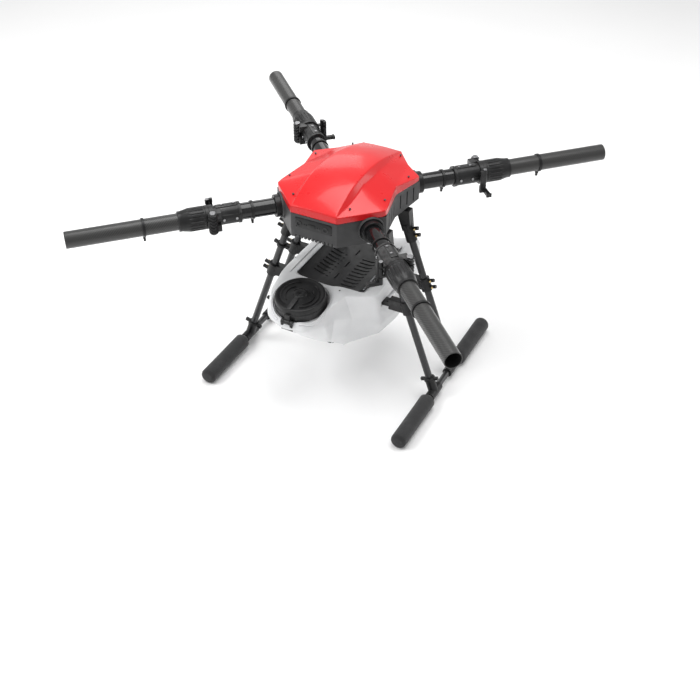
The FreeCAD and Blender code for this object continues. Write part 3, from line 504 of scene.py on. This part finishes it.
# ---------------------------------------------------------------- canopy
# Creases of the canopy from front to back, as (half width, y, height) in millimetres.
CROWN = [(0, -176, 543), (0, -117, 574), (0, -58, 584.5), (0, 0, 584), (0, 58, 578), (0, 117, 562),
         (0, 184, 536)]
BAND = [(56, -176, 540), (56, -117, 569), (58, -58, 579.5), (56, 0, 579), (56, 58, 573),
        (55, 117, 557), (50, 184, 533.5)]
SHOULDER = [(60, -176, 538), (70, -117, 551), (67.5, -58, 564.5), (66, 14, 569), (66, 70, 557.5),
            (60, 126, 549), (52, 184, 533)]
NOTCH = (70, 24, 562.5)
RIM_CORNER = (144.5, -91.5, 537)
RIM_WAIST = (123, 4, 545)
RIM_REAR = (144.5, 91.5, 533)
BACK_CREASE = (96, 129, 535)
RIM_LOW = 522.0


def canopy_wings():
    """Faces between the shoulder crease and the rim."""
    s = SHOULDER
    return [
        (s[0], RIM_CORNER, s[1]),
        (s[1], RIM_CORNER, s[2]),
        (s[2], RIM_CORNER, RIM_WAIST),
        (s[2], RIM_WAIST, NOTCH),
        (s[2], NOTCH, s[3]),
        (s[3], NOTCH, s[4]),
        (NOTCH, RIM_WAIST, BACK_CREASE),
        (NOTCH, BACK_CREASE, s[4]),
        (s[4], BACK_CREASE, s[5]),
        (s[5], BACK_CREASE, s[6]),
        (RIM_WAIST, RIM_REAR, BACK_CREASE),
    ]


def build_canopy():
    """One smooth skin with sharp character lines, and a plain rim under it."""
    mesh_tools = bmesh.new()
    known = {}

    def vertex(point, side):
        x, y, z = point
        key = (round(side * x, 3), y, z)
        if key not in known:
            known[key] = mesh_tools.verts.new(Vector(key) * MM)
        return known[key]

    strips = []
    for first, second in ((CROWN, BAND), (BAND, SHOULDER)):
        for index in range(len(first) - 1):
            strips.append((first[index], second[index], second[index + 1], first[index + 1]))
    for side in (1, -1):
        for corners in strips + canopy_wings():
            corners = corners if side > 0 else corners[::-1]
            mesh_tools.faces.new([vertex(point, side) for point in corners])
    edge = [BAND[0], SHOULDER[0], RIM_CORNER, RIM_WAIST, RIM_REAR, BACK_CREASE, SHOULDER[-1], BAND[-1]]
    loop = [CROWN[0]] + edge + [CROWN[-1]]
    lower = {}

    def below(point, side):
        """The rim's lower edge under one of its corners."""
        key = (point, side if point[0] else 1)
        if key not in lower:
            lower[key] = mesh_tools.verts.new(Vector((side * point[0], point[1], RIM_LOW)) * MM)
        return lower[key]

    for side in (1, -1):
        for first, second in zip(loop, loop[1:]):
            corners = (vertex(first, side), below(first, side), below(second, side), vertex(second, side))
            mesh_tools.faces.new(corners if side > 0 else corners[::-1])
    bmesh.ops.recalc_face_normals(mesh_tools, faces=mesh_tools.faces)
    crease = mesh_tools.edges.layers.float.new("crease_edge")

    def sharpen(points, amount, sides=(1, -1)):
        for side in sides:
            for index, (first, second) in enumerate(zip(points, points[1:])):
                made = mesh_tools.edges.get((vertex(first, side), vertex(second, side)))
                if made is not None:
                    made[crease] = amount[index] if isinstance(amount, (list, tuple)) else amount

    sharpen(BAND, (0.92, 0.88, 0.85, 0.8, 0.7, 0.6), sides=(1,))
    sharpen(BAND, (0.9, 0.8, 0.6, 0.45, 0.35, 0.3), sides=(-1,))
    sharpen(SHOULDER, 0.85)
    sharpen((SHOULDER[2], NOTCH, SHOULDER[4]), 0.7)
    sharpen((NOTCH, RIM_WAIST), 0.75)
    sharpen((NOTCH, BACK_CREASE), 0.5)
    sharpen((RIM_WAIST, BACK_CREASE), 0.85)
    sharpen(loop, 0.93)
    point_above = {v: key[0] for key, v in lower.items()}
    sharp_corners = (SHOULDER[0], RIM_CORNER, RIM_WAIST, RIM_REAR, SHOULDER[-1])
    for made in mesh_tools.edges:
        points = [point_above[v] for v in made.verts if v in point_above]
        if len(points) == 2:
            made[crease] = 0.9
        elif points and points[0] in sharp_corners:
            made[crease] = 0.85
    piece = finished(mesh_tools, "canopy_skin", "frame", "red_paint", smooth=60.0)
    add_modifier(piece, "SUBSURF", levels=3, render_levels=3)
    add_modifier(piece, "BEVEL", width=0.7 * MM, segments=3, limit_method="ANGLE",
                 angle_limit=math.radians(14.0), harden_normals=True, use_clamp_overlap=False)
    add_modifier(piece, "SOLIDIFY", thickness=2.2 * MM, offset=-1.0)
    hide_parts("canopy")


# ---------------------------------------------------------------- arms
ARM_HEIGHT = 494.7 * MM
ARM_RADIUS = 20.0 * MM
ARMS = {"rear_right": 45.0, "rear_left": 135.0, "front_left": 225.0, "front_right": 315.0}
TOW_REPEAT = 6.0 * MM


def arm_place(angle):
    return Matrix.Translation((0, 0, ARM_HEIGHT)) @ Matrix.Rotation(math.radians(angle), 4, "Z")


def tube_profile(start, end, outer, inner, chamfer):
    """Section of an open tube whose ends are lightly chamfered."""
    count = 24
    outside = [(start + chamfer + (end - start - 2 * chamfer) * i / count, outer) for i in range(count + 1)]
    return [(start, inner), (start, outer - chamfer)] + outside + [(end, outer - chamfer), (end, inner)]


def is_bore(face):
    """Whether a face of a tube lies on its inner wall."""
    middle = face.calc_center_median()
    return math.hypot(middle.y, middle.z) < ARM_RADIUS - 1.5 * MM


def build_arm_tubes():
    repeats = round(2 * math.pi * ARM_RADIUS / TOW_REPEAT)
    for side, angle in ARMS.items():
        place = arm_place(angle)
        profile = tube_profile(343.2 * MM, 675.5 * MM, ARM_RADIUS, ARM_RADIUS - 2 * MM, 0.4 * MM)
        mesh_tools = turned(profile, 96, None, repeats, TOW_REPEAT)
        bmesh.ops.recalc_face_normals(mesh_tools, faces=mesh_tools.faces)
        mesh_tools.faces.index_update()
        bore = [face.index for face in mesh_tools.faces if is_bore(face)]
        piece = finished(mesh_tools, "outer_tube_" + side, "arm_" + side, "carbon", "carbon_tube", place)
        # The inner wall gets the dark matte rubber as painted shade, so the open bore looks black.
        piece.data.materials.append(MATERIALS["seal_rubber"])
        for index in bore:
            piece.data.polygons[index].material_index = 1
        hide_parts("outer_arm_tube_" + side)


def fluted_sleeve():
    """Lock sleeve of an arm: long shallow flutes, a tapered end and a plain ring."""
    segments, flutes, wall = 160, 20, 20.3
    flute_depth = 1.7
    # Each section is a place along the arm, a radius and a share of the flutes' depth.
    sections = [(352.3, 27.0, 0.0), (352.9, 27.9, 0.0), (355.6, 28.0, 0.0), (357.0, 28.0, 0.6),
                (359.0, 28.0, 1.0), (380.0, 28.0, 1.0), (386.0, 28.0, 1.0), (390.0, 27.9, 0.7),
                (393.0, 27.2, 0.25), (396.0, 26.6, 0.0), (407.0, 24.4, 0.0), (408.2, 24.1, 0.0),
                (415.4, 24.0, 0.0), (416.0, 23.4, 0.0), (416.0, wall, 0.0), (352.3, wall, 0.0)]
    mesh_tools = bmesh.new()
    rings = []
    for x, radius, depth in sections:
        ring = []
        for index in range(segments):
            angle = 2 * math.pi * index / segments
            dip = max(0.0, math.cos(flutes * angle)) ** 0.6 if depth else 0.0
            reach = radius - flute_depth * depth * dip
            ring.append(mesh_tools.verts.new((x * MM, reach * math.cos(angle) * MM,
                                              reach * math.sin(angle) * MM)))
        rings.append(ring)
    for low, high in zip(rings, rings[1:] + rings[:1]):
        for index in range(segments):
            after = (index + 1) % segments
            mesh_tools.faces.new((low[index], low[after], high[after], high[index]))
    bmesh.ops.recalc_face_normals(mesh_tools, faces=mesh_tools.faces)
    return mesh_tools


def build_sleeves():
    for side, angle in ARMS.items():
        piece = finished(fluted_sleeve(), "fluted_sleeve_" + side, "arm_" + side, "clamp_plastic",
                         place=arm_place(angle), smooth=32.0)
        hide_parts("lock_sleeve_" + side)


HINGE_REACH = 339.0
HINGE_OFFSET = 31.0
TOOTH_PITCH = 8.3
TOOTH_SLOPE = 6.0


def toothed_barrel(low, high):
    """A sleeve round the fold pin whose outer side carries stacked chevron teeth."""
    mesh_tools = bmesh.new()
    segments = 72
    rows = round((high - low) / 0.45)
    inner, outer = 8.9, 11.1
    grid = []
    for row in range(rows + 1):
        z = low + (high - low) * row / rows
        ends = min(1.0, 2.0 * min(row, rows - row) / 3.0)
        line = []
        for index in range(segments):
            turn = 2 * math.pi * index / segments - math.pi
            share = ((z - TOOTH_SLOPE * abs(turn)) / TOOTH_PITCH) % 1.0
            rise = max(0.0, min(1.0, (0.5 - abs(share - 0.5)) * 5.0 - 0.6)) * ends
            radius = inner + 0.5 + (outer - inner - 0.5) * rise
            line.append(mesh_tools.verts.new((radius * math.sin(turn) * MM, radius * math.cos(turn) * MM,
                                              z * MM)))
        grid.append(line)
    for below, above in zip(grid, grid[1:]):
        for index in range(segments):
            after = (index + 1) % segments
            mesh_tools.faces.new((below[index], above[index], above[after], below[after]))
    mesh_tools.faces.new(grid[0])
    mesh_tools.faces.new(grid[-1][::-1])
    bmesh.ops.recalc_face_normals(mesh_tools, faces=mesh_tools.faces)
    return mesh_tools


def build_hinge_teeth():
    for side, angle in ARMS.items():
        place = arm_place(angle) @ Matrix.Translation((HINGE_REACH * MM, HINGE_OFFSET * MM, 0))
        for name, low, high, body in (
            ("upper", 9.4, 23.8, "frame"),
            ("middle", -8.5, 8.5, "arm_" + side),
            ("lower", -25.8, -9.4, "frame"),
        ):
            finished(toothed_barrel(low, high), f"hinge_teeth_{name}_{side}", body, "clamp_plastic",
                     "black_moulding", place, smooth=50.0)


# ---------------------------------------------------------------- foam pads
def pad_profile():
    """Half-section of a foam sleeve from its inner end to its rounded outer end."""
    start, end, radius, bore = 87.0, 272.0, 20.1, 8.2
    profile = [(start, bore), (start, 11.5), (start + 1.0, 13.0), (start + 9.0, 19.2), (start + 11.0, radius)]
    length = end - start - 24.0
    for step in range(1, 12):
        profile.append((start + 11.0 + length * step / 12, radius - 0.25 * math.sin(math.pi * step / 12)))
    profile.append((end - 9.0, radius))
    for step in range(1, 7):
        turn = math.pi / 2 * step / 6
        profile.append((end - 9.0 + 8.6 * math.sin(turn), radius - 9.0 + 9.0 * math.cos(turn)))
    return scaled(profile)


def build_pads():
    """Foam sleeves, flattened where they rest."""
    skid_height = 19.6 * MM
    for side, name in ((1, "right"), (-1, "left")):
        for fore, end in ((-1, "front"), (1, "rear")):
            mesh_tools = turned(pad_profile(), 72, closed=False)
            holes = [e for e in mesh_tools.edges if e.is_boundary]
            bmesh.ops.holes_fill(mesh_tools, edges=holes, sides=0)
            bmesh.ops.recalc_face_normals(mesh_tools, faces=mesh_tools.faces)
            for v in mesh_tools.verts:
                if v.co.z < -skid_height:
                    v.co.z = -skid_height
            turn = Matrix.Rotation(math.radians(90.0 * fore), 4, "Z")
            place = Matrix.Translation((side * 270.7 * MM, 0, skid_height)) @ turn
            piece = finished(mesh_tools, f"foam_sleeve_{end}_{name}", "frame", "foam", place=place)
            if fore < 0:
                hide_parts("foam_pads_" + name)


# ---------------------------------------------------------------- filler cap
def cap_place():
    """Frame of the filler neck, tilted to the front."""
    return Matrix.Translation((-0.037, -0.180, 0.270)) @ Matrix.Rotation(math.radians(7.5), 4, "X")


def build_cap():
    """Ribbed lid: stepped rim with grips, dished top, middle boss, strap and curved ribs."""
    radius, top = 63.5, 34.0
    outside = [(0.4, radius - 0.8), (1.2, radius), (top - 15.0, radius), (top - 14.0, radius - 1.2),
               (top - 3.5, radius - 1.4), (top - 1.0, radius - 2.6), (top, radius - 5.0), (top, 56.0),
               (top - 1.6, 54.0), (top - 2.4, 40.0), (top - 2.4, 24.0), (top - 1.2, 17.0),
               (top + 1.6, 15.0), (top + 2.6, 13.6), (top + 2.6, 8.0), (top + 2.0, 6.0), (top + 2.0, 0.01)]
    inside = [(top - 4.5, 0.01), (top - 4.5, 59.5), (0.4, 59.5)]
    mesh_tools = turned(scaled(outside + inside), 96)
    bmesh.ops.remove_doubles(mesh_tools, verts=mesh_tools.verts, dist=2e-5)
    bmesh.ops.transform(mesh_tools, matrix=UPRIGHT, verts=mesh_tools.verts)
    bmesh.ops.recalc_face_normals(mesh_tools, faces=mesh_tools.faces)
    dish = top - 2.6

    def bar(points, width, low, high):
        """A raised rib that follows a line on the lid."""
        half = width / 2
        left, right = [], []
        for index, point in enumerate(points):
            near = Vector(points[max(index - 1, 0)])
            far = Vector(points[min(index + 1, len(points) - 1)])
            across = (far - near).normalized().orthogonal()
            left.append(Vector(point) + across * half)
            right.append(Vector(point) - across * half)
        outline = [(p.x * MM, p.y * MM) for p in left + right[::-1]]
        rounded_prism(mesh_tools, outline, low * MM, high * MM, 0.7 * MM)

    def arc(middle, reach, start, end, steps=14):
        cx, cy = middle
        angles = [math.radians(start + (end - start) * i / steps) for i in range(steps + 1)]
        return [(cx + reach * math.cos(a), cy + reach * math.sin(a)) for a in angles]

    bar([(0, -12), (0, -30), (0, -60)], 11.0, dish, top + 1.8)
    for side in (-1, 1):
        bar(arc((side * 6.0, -2.0), 30.0, 90.0 - side * 150.0, 90.0 - side * 35.0), 2.6, dish, top - 0.6)
        bar(arc((side * 4.0, 0.0), 44.0, 90.0 - side * 160.0, 90.0 - side * 20.0), 2.6, dish, top - 0.6)
    bar(arc((0, 0), 22.0, 20.0, 160.0), 2.2, dish, top - 0.8)
    grips = 36
    for index in range(grips):
        angle = 2 * math.pi * index / grips
        if math.cos(angle + math.pi / 2) > 0.93:
            continue
        before = set(mesh_tools.verts)
        rounded_prism(mesh_tools, rounded_rectangle(0.9 * MM, 1.5 * MM, 0.6 * MM, 2), 2.5 * MM,
                      (top - 16.5) * MM, 0.4 * MM, 1)
        spin = Matrix.Rotation(angle, 4, "Z")
        placed(mesh_tools, before, spin @ Matrix.Translation(((radius - 1.2) * MM, 0, 0)))
    before = set(mesh_tools.verts)
    rounded_prism(mesh_tools, rounded_rectangle(7.4 * MM, 7.0 * MM, 1.5 * MM), 2.0 * MM, 20.0 * MM, 1.2 * MM)
    placed(mesh_tools, before, Matrix.Translation((0, -63.5 * MM, 0)))
    before = set(mesh_tools.verts)
    knuckle = [(-7.5, 2.6), (-7.5, 5.4), (-6.9, 6.0), (6.9, 6.0), (7.5, 5.4), (7.5, 2.6)]
    turned(scaled(knuckle), 32, mesh_tools)
    placed(mesh_tools, before, Matrix.Translation((0, -70.0 * MM, 2.0 * MM)))
    piece = finished(mesh_tools, "filler_lid", "cap", "cap_plastic", place=cap_place(), smooth=40.0)
    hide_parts("filler_cap")


# ---------------------------------------------------------------- tank
# Corners of the tank, column by column from the rear left round the front to the rear right.
TANK_COLUMNS = [
    ((-116, 182, 298), (-120, 188, 215), (-106, 165, 150)),
    ((-131, 60, 298), (-140, 60, 215), (-124, 50, 150)),
    ((-134, -95, 298), (-141, -105, 222), (-116, -75, 150)),
    ((-122, -180, 290), (-134, -178, 238), (-96, -118, 150)),
    ((-98, -222, 274), (-106, -232, 244), (-70, -146, 152)),
    ((-52, -248, 268), (-50, -262, 247), (-35, -152, 148)),
    ((-6, -242, 268), (8, -252, 247), (0, -146, 144)),
    ((26, -205, 274), (42, -205, 243), (14, -138, 142)),
    ((50, -160, 292), (44, -165, 240), (20, -135, 141)),
    ((60, -138, 298), (70, -120, 225), (50, -126, 138)),
    ((126, -105, 298), (128, -76, 192), (114, -56, 150)),
    ((131, 60, 298), (140, 40, 192), (127, 33, 150)),
    ((116, 182, 298), (120, 188, 215), (106, 165, 150)),
]
TANK_CENTRE = Vector((0, -20, 222))
# How sharp the upright edges are, column by column, and the rings from the top down.
VERTICAL_CREASE = (0.6, 0.35, 0.5, 0.35, 0.3, 0.3, 0.5, 0.8, 1.0, 1.0, 0.8, 0.35, 0.6)
RING_CREASE = (0.7, 0.45, 0.6)
SHARP_LOBE = (7, 8, 9)


def temporary(mesh_tools, name):
    """An object that only shapes another one, and is removed afterwards."""
    bmesh.ops.recalc_face_normals(mesh_tools, faces=mesh_tools.faces)
    mesh = bpy.data.meshes.new(name)
    mesh_tools.to_mesh(mesh)
    mesh_tools.free()
    made = bpy.data.objects.new(name, mesh)
    bpy.context.scene.collection.objects.link(made)
    return made


def tank_form(name, scale):
    """The tank's soft-cornered outside, or its hollow when scaled down."""
    mesh_tools = bmesh.new()
    crease = mesh_tools.edges.layers.float.new("crease_edge")

    def vertex(point):
        return mesh_tools.verts.new((TANK_CENTRE + (Vector(point) - TANK_CENTRE) * scale) * MM)

    columns = [[vertex(point) for point in column] for column in TANK_COLUMNS]
    top, low = vertex((0, -60, 298)), vertex((0, -20, 140))
    for index, (first, second) in enumerate(zip(columns, columns[1:] + columns[:1])):
        mesh_tools.faces.new((top, first[0], second[0]))
        mesh_tools.faces.new((low, second[2], first[2]))
        for level in (0, 1):
            mesh_tools.faces.new((first[level], first[level + 1], second[level + 1], second[level]))
        for level, amount in enumerate(RING_CREASE):
            sharp = level == 1 and index in SHARP_LOBE
            mesh_tools.edges.get((first[level], second[level]))[crease] = 1.0 if sharp else amount
    for column, amount in zip(columns, VERTICAL_CREASE):
        for level in (0, 1):
            mesh_tools.edges.get((column[level], column[level + 1]))[crease] = amount
    form = temporary(mesh_tools, name)
    add_modifier(form, "SUBSURF", levels=4, render_levels=4)
    return form


def prism_cutter(outline, start, end):
    """A prism of an outline in X and Z, from one Y to another."""
    mesh_tools = bmesh.new()
    ends = [[mesh_tools.verts.new((x * MM, y * MM, z * MM)) for x, z in outline] for y in (start, end)]
    mesh_tools.faces.new(ends[0])
    mesh_tools.faces.new(ends[1][::-1])
    for index in range(len(outline)):
        after = (index + 1) % len(outline)
        mesh_tools.faces.new((ends[0][index], ends[1][index], ends[1][after], ends[0][after]))
    return temporary(mesh_tools, "cutter")


def neck_cutter(radius, low):
    """A round space about the filler neck's own axis."""
    mesh_tools = bmesh.new()
    bmesh.ops.create_circle(mesh_tools, cap_ends=True, radius=radius * MM, segments=96)
    made = bmesh.ops.extrude_face_region(mesh_tools, geom=mesh_tools.faces[:])
    lifted = [v for v in made["geom"] if isinstance(v, bmesh.types.BMVert)]
    bmesh.ops.translate(mesh_tools, verts=lifted, vec=(0, 0, (60.0 - low) * MM))
    bmesh.ops.transform(mesh_tools, matrix=cap_place() @ Matrix.Translation((0, 0, low * MM)),
                        verts=mesh_tools.verts)
    return temporary(mesh_tools, "cutter")


def carve(form, cutters):
    """Cuts every cutter from a form, and returns the result as a mesh; all of them are removed."""
    for cutter in cutters:
        add_modifier(form, "BOOLEAN", operation="DIFFERENCE", solver="EXACT", object=cutter)
    bpy.context.view_layer.update()
    shaped = form.evaluated_get(bpy.context.evaluated_depsgraph_get())
    mesh = bpy.data.meshes.new_from_object(shaped)
    for used in [form] + cutters:
        bpy.data.objects.remove(used)
    return mesh


def tank_cutters(wall):
    """The spaces for the tray, the cap and the rails; a wall makes them larger."""
    rim, floor = 295.8 - wall, 278.8 - wall
    half, floor_half = 95.5 + wall, 49.5 + wall
    above = 330.0
    trough = [(-half, rim), (-floor_half, floor), (floor_half, floor), (half, rim), (half, above),
              (-half, above)]
    cutters = [prism_cutter(trough, -104.0 - wall, 230.0), neck_cutter(68.5 + wall, -2.0 - wall)]
    for side in (-1, 1):
        near, far = side * (122.5 - wall), side * 170.0
        groove = [(near, 248.5 - wall), (far, 248.5 - wall), (far, 263.5 + wall), (near, 263.5 + wall)]
        cutters.append(prism_cutter(groove, -75.0 - wall, 230.0))
    return cutters


def rounded_block(mesh_tools, low, high, bevel):
    """A block between two corners with every edge rounded."""
    made = bmesh.ops.create_cube(mesh_tools, size=1.0)["verts"]
    size = [(b - a) * MM for a, b in zip(low, high)]
    middle = [(a + b) / 2 * MM for a, b in zip(low, high)]
    bmesh.ops.scale(mesh_tools, vec=size, verts=made)
    bmesh.ops.translate(mesh_tools, vec=middle, verts=made)
    edges = {e for v in made for e in v.link_edges}
    bmesh.ops.bevel(mesh_tools, geom=list(edges), offset=bevel * MM, segments=3, affect="EDGES", profile=0.5)


def drop_onto(skin, x, y):
    """The point of a skin straight below a place in metres, or None."""
    start_height = 0.4
    return skin.ray_cast(Vector((x, y, start_height)), Vector((0, 0, -1)))[0]


def build_cap_bead(skin):
    """A rolled bead on the tank's skin round the cap, open where the cap's hinge stands."""
    mesh_tools = bmesh.new()
    steps, sides, reach, thickness = 120, 10, 72.5, 2.2
    rings = []
    for index in range(steps + 1):
        angle = math.radians(-66.0 + 312.0 * index / steps)
        foot = cap_place() @ Vector((reach * math.cos(angle) * MM, reach * math.sin(angle) * MM, 0))
        found = drop_onto(skin, foot.x, foot.y)
        if found is None or found.z < foot.z - 30 * MM:
            continue
        outward = Vector((math.cos(angle), math.sin(angle), 0))
        ring = []
        for side in range(sides):
            turn = 2 * math.pi * side / sides
            offset = outward * (thickness * math.cos(turn)) + Vector((0, 0, 0.9 * thickness * math.sin(turn)))
            ring.append(mesh_tools.verts.new(found + offset * MM))
        rings.append(ring)
    for low, high in zip(rings, rings[1:]):
        for side in range(sides):
            after = (side + 1) % sides
            mesh_tools.faces.new((low[side], low[after], high[after], high[side]))
    mesh_tools.faces.new(rings[0])
    mesh_tools.faces.new(rings[-1][::-1])
    bmesh.ops.recalc_face_normals(mesh_tools, faces=mesh_tools.faces)
    finished(mesh_tools, "cap_bead", "tank", "tank_plastic", smooth=60.0)


def build_rivets(skin):
    """Two small dark rivets set in the tank's top."""
    head = [(-1.0, 0.05), (-1.0, 2.2), (0.3, 2.2), (0.8, 1.4), (0.9, 0.05)]
    mesh_tools = bmesh.new()
    for x, y in ((36.0, -118.0), (-130.0, -41.0)):
        height = drop_onto(skin, x * MM, y * MM).z
        before = set(mesh_tools.verts)
        turned(scaled(head), 24, mesh_tools)
        placed(mesh_tools, before, Matrix.Translation((x * MM, y * MM, height)) @ UPRIGHT)
    bmesh.ops.recalc_face_normals(mesh_tools, faces=mesh_tools.faces)
    finished(mesh_tools, "tank_rivets", "tank", "dark_screw")


def build_neck():
    """The filler neck that the cap closes."""
    neck = [(-8.0, 52.0), (-8.0, 56.0), (5.0, 56.0), (5.6, 57.5), (7.0, 57.5), (7.6, 56.0), (24.0, 56.0),
            (25.0, 55.0), (25.0, 53.0), (24.0, 52.0)]
    mesh_tools = turned(scaled(neck), 96)
    bmesh.ops.recalc_face_normals(mesh_tools, faces=mesh_tools.faces)
    finished(mesh_tools, "tank_neck", "tank", "tank_plastic", place=cap_place() @ UPRIGHT)


def build_hinge_ears():
    """Two ears on a foot that hold the cap's hinge pin."""
    width = 7.8
    mesh_tools = bmesh.new()
    rounded_block(mesh_tools, (-16.0, -76.0, -20.0), (16.0, -56.0, -8.0), 1.5)
    for start in (-16.0, 8.2):
        end = start + width
        rounded_block(mesh_tools, (start, -76.0, -20.0), (end, -64.0, 1.0), 1.5)
        before = set(mesh_tools.verts)
        eye = [(start, 2.6), (start, 5.2), (start + 0.8, 6.0), (end - 0.8, 6.0), (end, 5.2), (end, 2.6)]
        turned(scaled(eye), 40, mesh_tools)
        placed(mesh_tools, before, Matrix.Translation((0, -70.0 * MM, 2.0 * MM)))
    bmesh.ops.recalc_face_normals(mesh_tools, faces=mesh_tools.faces)
    finished(mesh_tools, "cap_hinge_ears", "tank", "black_moulding", place=cap_place(), smooth=40.0)


def build_tank():
    """Blow-moulded tank: a soft-cornered hollow shell, and what stands on it."""
    cavity_mesh = carve(tank_form("cavity", 0.95), tank_cutters(3.0))
    cavity = bpy.data.objects.new("cavity", cavity_mesh)
    bpy.context.scene.collection.objects.link(cavity)
    slot = prism_cutter([(-111.5, 294.5), (-106.5, 294.5), (-106.5, 310.0), (-111.5, 310.0)], -103.0, 60.0)
    cutters = tank_cutters(0.0) + [slot, cavity, neck_cutter(52.0, -20.0)]
    mesh_tools = bmesh.new()
    mesh_tools.from_mesh(carve(tank_form("outside", 1.0), cutters))
    bmesh.ops.remove_doubles(mesh_tools, verts=mesh_tools.verts, dist=1e-5)
    skin = BVHTree.FromBMesh(mesh_tools)
    piece = finished(mesh_tools, "tank_body", "tank", "tank_plastic", smooth=28.0)
    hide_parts("spray_tank")
    build_cap_bead(skin)
    build_rivets(skin)
    build_neck()
    build_hinge_ears()


# ---------------------------------------------------------------- hull details
def build_arm_sockets():
    """Raised ring round each arm hole."""
    ring = [(165.0, 27.6), (165.0, 32.5), (169.0, 32.0), (171.5, 30.6), (172.0, 29.6), (171.5, 28.4),
            (168.0, 27.6)]
    for side, angle in ARMS.items():
        mesh_tools = turned(scaled(ring), 72)
        bmesh.ops.recalc_face_normals(mesh_tools, faces=mesh_tools.faces)
        finished(mesh_tools, "arm_socket_" + side, "frame", "hull_plastic", place=arm_place(angle))


def build_front_panel():
    """Rounded dark panel with two ringed sockets, a middle port and small round lamps."""
    place = Matrix.Translation((0, -175.0 * MM, 500.5 * MM)) @ Matrix.Rotation(math.radians(90.0), 4, "X")
    mesh_tools = bmesh.new()
    plate = rounded_rectangle(47.5 * MM, 13.0 * MM, 9.0 * MM, 8)
    rounded_prism(mesh_tools, plate, 0.0, 1.8 * MM, 0.6 * MM)
    port = [(x - 6.0 * MM, y - 2.5 * MM) for x, y in rounded_rectangle(10.0 * MM, 5.0 * MM, 2.0 * MM)]
    rounded_prism(mesh_tools, port, 1.7 * MM, 2.8 * MM, 0.5 * MM)
    finished(mesh_tools, "panel_face", "frame", "black_moulding", place=place)
    mesh_tools = bmesh.new()
    for x, outer, inner in ((-38.0, 7.4, 4.4), (31.0, 7.4, 4.4), (-25.0, 1.7, 0.5), (-19.5, 1.7, 0.5),
                            (9.0, 1.7, 0.5), (15.0, 1.7, 0.5)):
        before = set(mesh_tools.verts)
        profile = [(1.6, inner), (1.6, outer), (2.8, outer), (3.2, outer - 0.4), (3.2, inner + 0.4),
                   (2.8, inner)]
        turned(scaled(profile), 36, mesh_tools)
        placed(mesh_tools, before, Matrix.Translation((x * MM, -2.5 * MM, 0)) @ UPRIGHT)
    bmesh.ops.recalc_face_normals(mesh_tools, faces=mesh_tools.faces)
    finished(mesh_tools, "panel_rings", "frame", "black_moulding", "cap_plastic", place=place)


def build_tray_painted_shade_sheet():
    """Thin black sheet under the tray, which its slots look down on: painted shade standing in for the
    shadowed hollow below them.
    """
    half, floor_half, rim, floor = 91.0, 46.0, 300.0, 283.0
    sheet = 3.0
    thickness = 0.5
    section = [(-half, rim), (-floor_half, floor), (floor_half, floor), (half, rim)]
    outline = [(x, z - sheet) for x, z in section] + [(x, z - sheet - thickness) for x, z in section[::-1]]
    mesh_tools = bmesh.new()
    ends = []
    for y in (-97.0, 117.0):
        ends.append([mesh_tools.verts.new((x * MM, y * MM, z * MM)) for x, z in outline])
    count = len(outline)
    for index in range(count):
        after = (index + 1) % count
        mesh_tools.faces.new((ends[0][index], ends[0][after], ends[1][after], ends[1][index]))
    for corners in ((0, 1, 6, 7), (1, 2, 5, 6), (2, 3, 4, 5)):
        for end in ends:
            mesh_tools.faces.new([end[i] for i in corners])
    bmesh.ops.recalc_face_normals(mesh_tools, faces=mesh_tools.faces)
    # The black sheet is painted shade, so the slots read as dark recesses.
    finished(mesh_tools, "tray_painted_shade_sheet", "frame", "black_moulding")


def build_tray_painted_highlight_strips():
    """A thin aluminium strip on each rim of the tray: a painted highlight where the rim's lip catches light.
    """
    mesh_tools = bmesh.new()
    for left, right in ((-92.2, -89.2), (89.2, 92.2)):
        rounded_block(mesh_tools, (left, -99.8, 303.6), (right, 117.8, 304.6), 0.3)
    # Bright strips standing in for the light caught on the tray's lips: painted highlight.
    finished(mesh_tools, "tray_painted_highlight_strips", "frame", "aluminium")


# ---------------------------------------------------------------- finish of the other CAD nodes
ROUNDED = {
    "lower_hull": (1.3, 3),
    "battery_tray": (0.7, 2),
    "connector_panel": (0.8, 2),
    "panel_sockets": (0.6, 2),
    "inner_arm_tubes": (0.4, 1),
    "inner_cable_clips": (0.8, 2),
    "arm_collars": (1.2, 3),
    "clamp_screws": (0.5, 2),
    "fold_pins": (0.8, 2),
    "latch_pins": (0.5, 2),
    "canopy_screws": (0.4, 2),
    "leg_top_clamps": (1.2, 2),
    "leg_tank_clamps": (1.2, 2),
    "thread_inserts": (0.4, 1),
    "skid_joints": (1.2, 2),
    "leg_cable_rings": (0.8, 2),
    "skid_tubes": (0.4, 1),
    "tank_outlet": (0.8, 2),
    "cap_hinge_pin": (0.4, 1),
    "upper_frame_plate": (0.4, 1),
    "lower_frame_plate": (0.4, 1),
    "flight_controller": (1.2, 3),
    "tray_hangers": (0.5, 2),
}
ROUNDED_BY_SIDE = {
    "fold_clamp_": (0.9, 2),
    "hinge_knuckle_": (0.8, 2),
    "latch_lever_": (0.9, 2),
    "outer_cable_clip_": (0.8, 2),
    "leg_": (0.4, 1),
}


def finish_nodes():
    """Rounds the edges of the CAD's own pieces and paints those that stay as they are."""
    for node, (bevel, segments) in ROUNDED.items():
        refined(node, bevel * MM, segments)
    for stem, (bevel, segments) in ROUNDED_BY_SIDE.items():
        for side in ARMS:
            refined(stem + side, bevel * MM, segments)
    for node, cad in NODES.items():
        cad.data.materials.clear()
        cad.data.materials.append(MATERIALS[SLOT_OF[node]])


build_camera()
build_light()
build_floor()
build_canopy()
build_arm_tubes()
build_pads()
build_cap()
build_hinge_teeth()
build_sleeves()
build_tank()
build_arm_sockets()
build_front_panel()
build_tray_painted_shade_sheet()
build_tray_painted_highlight_strips()
finish_nodes()
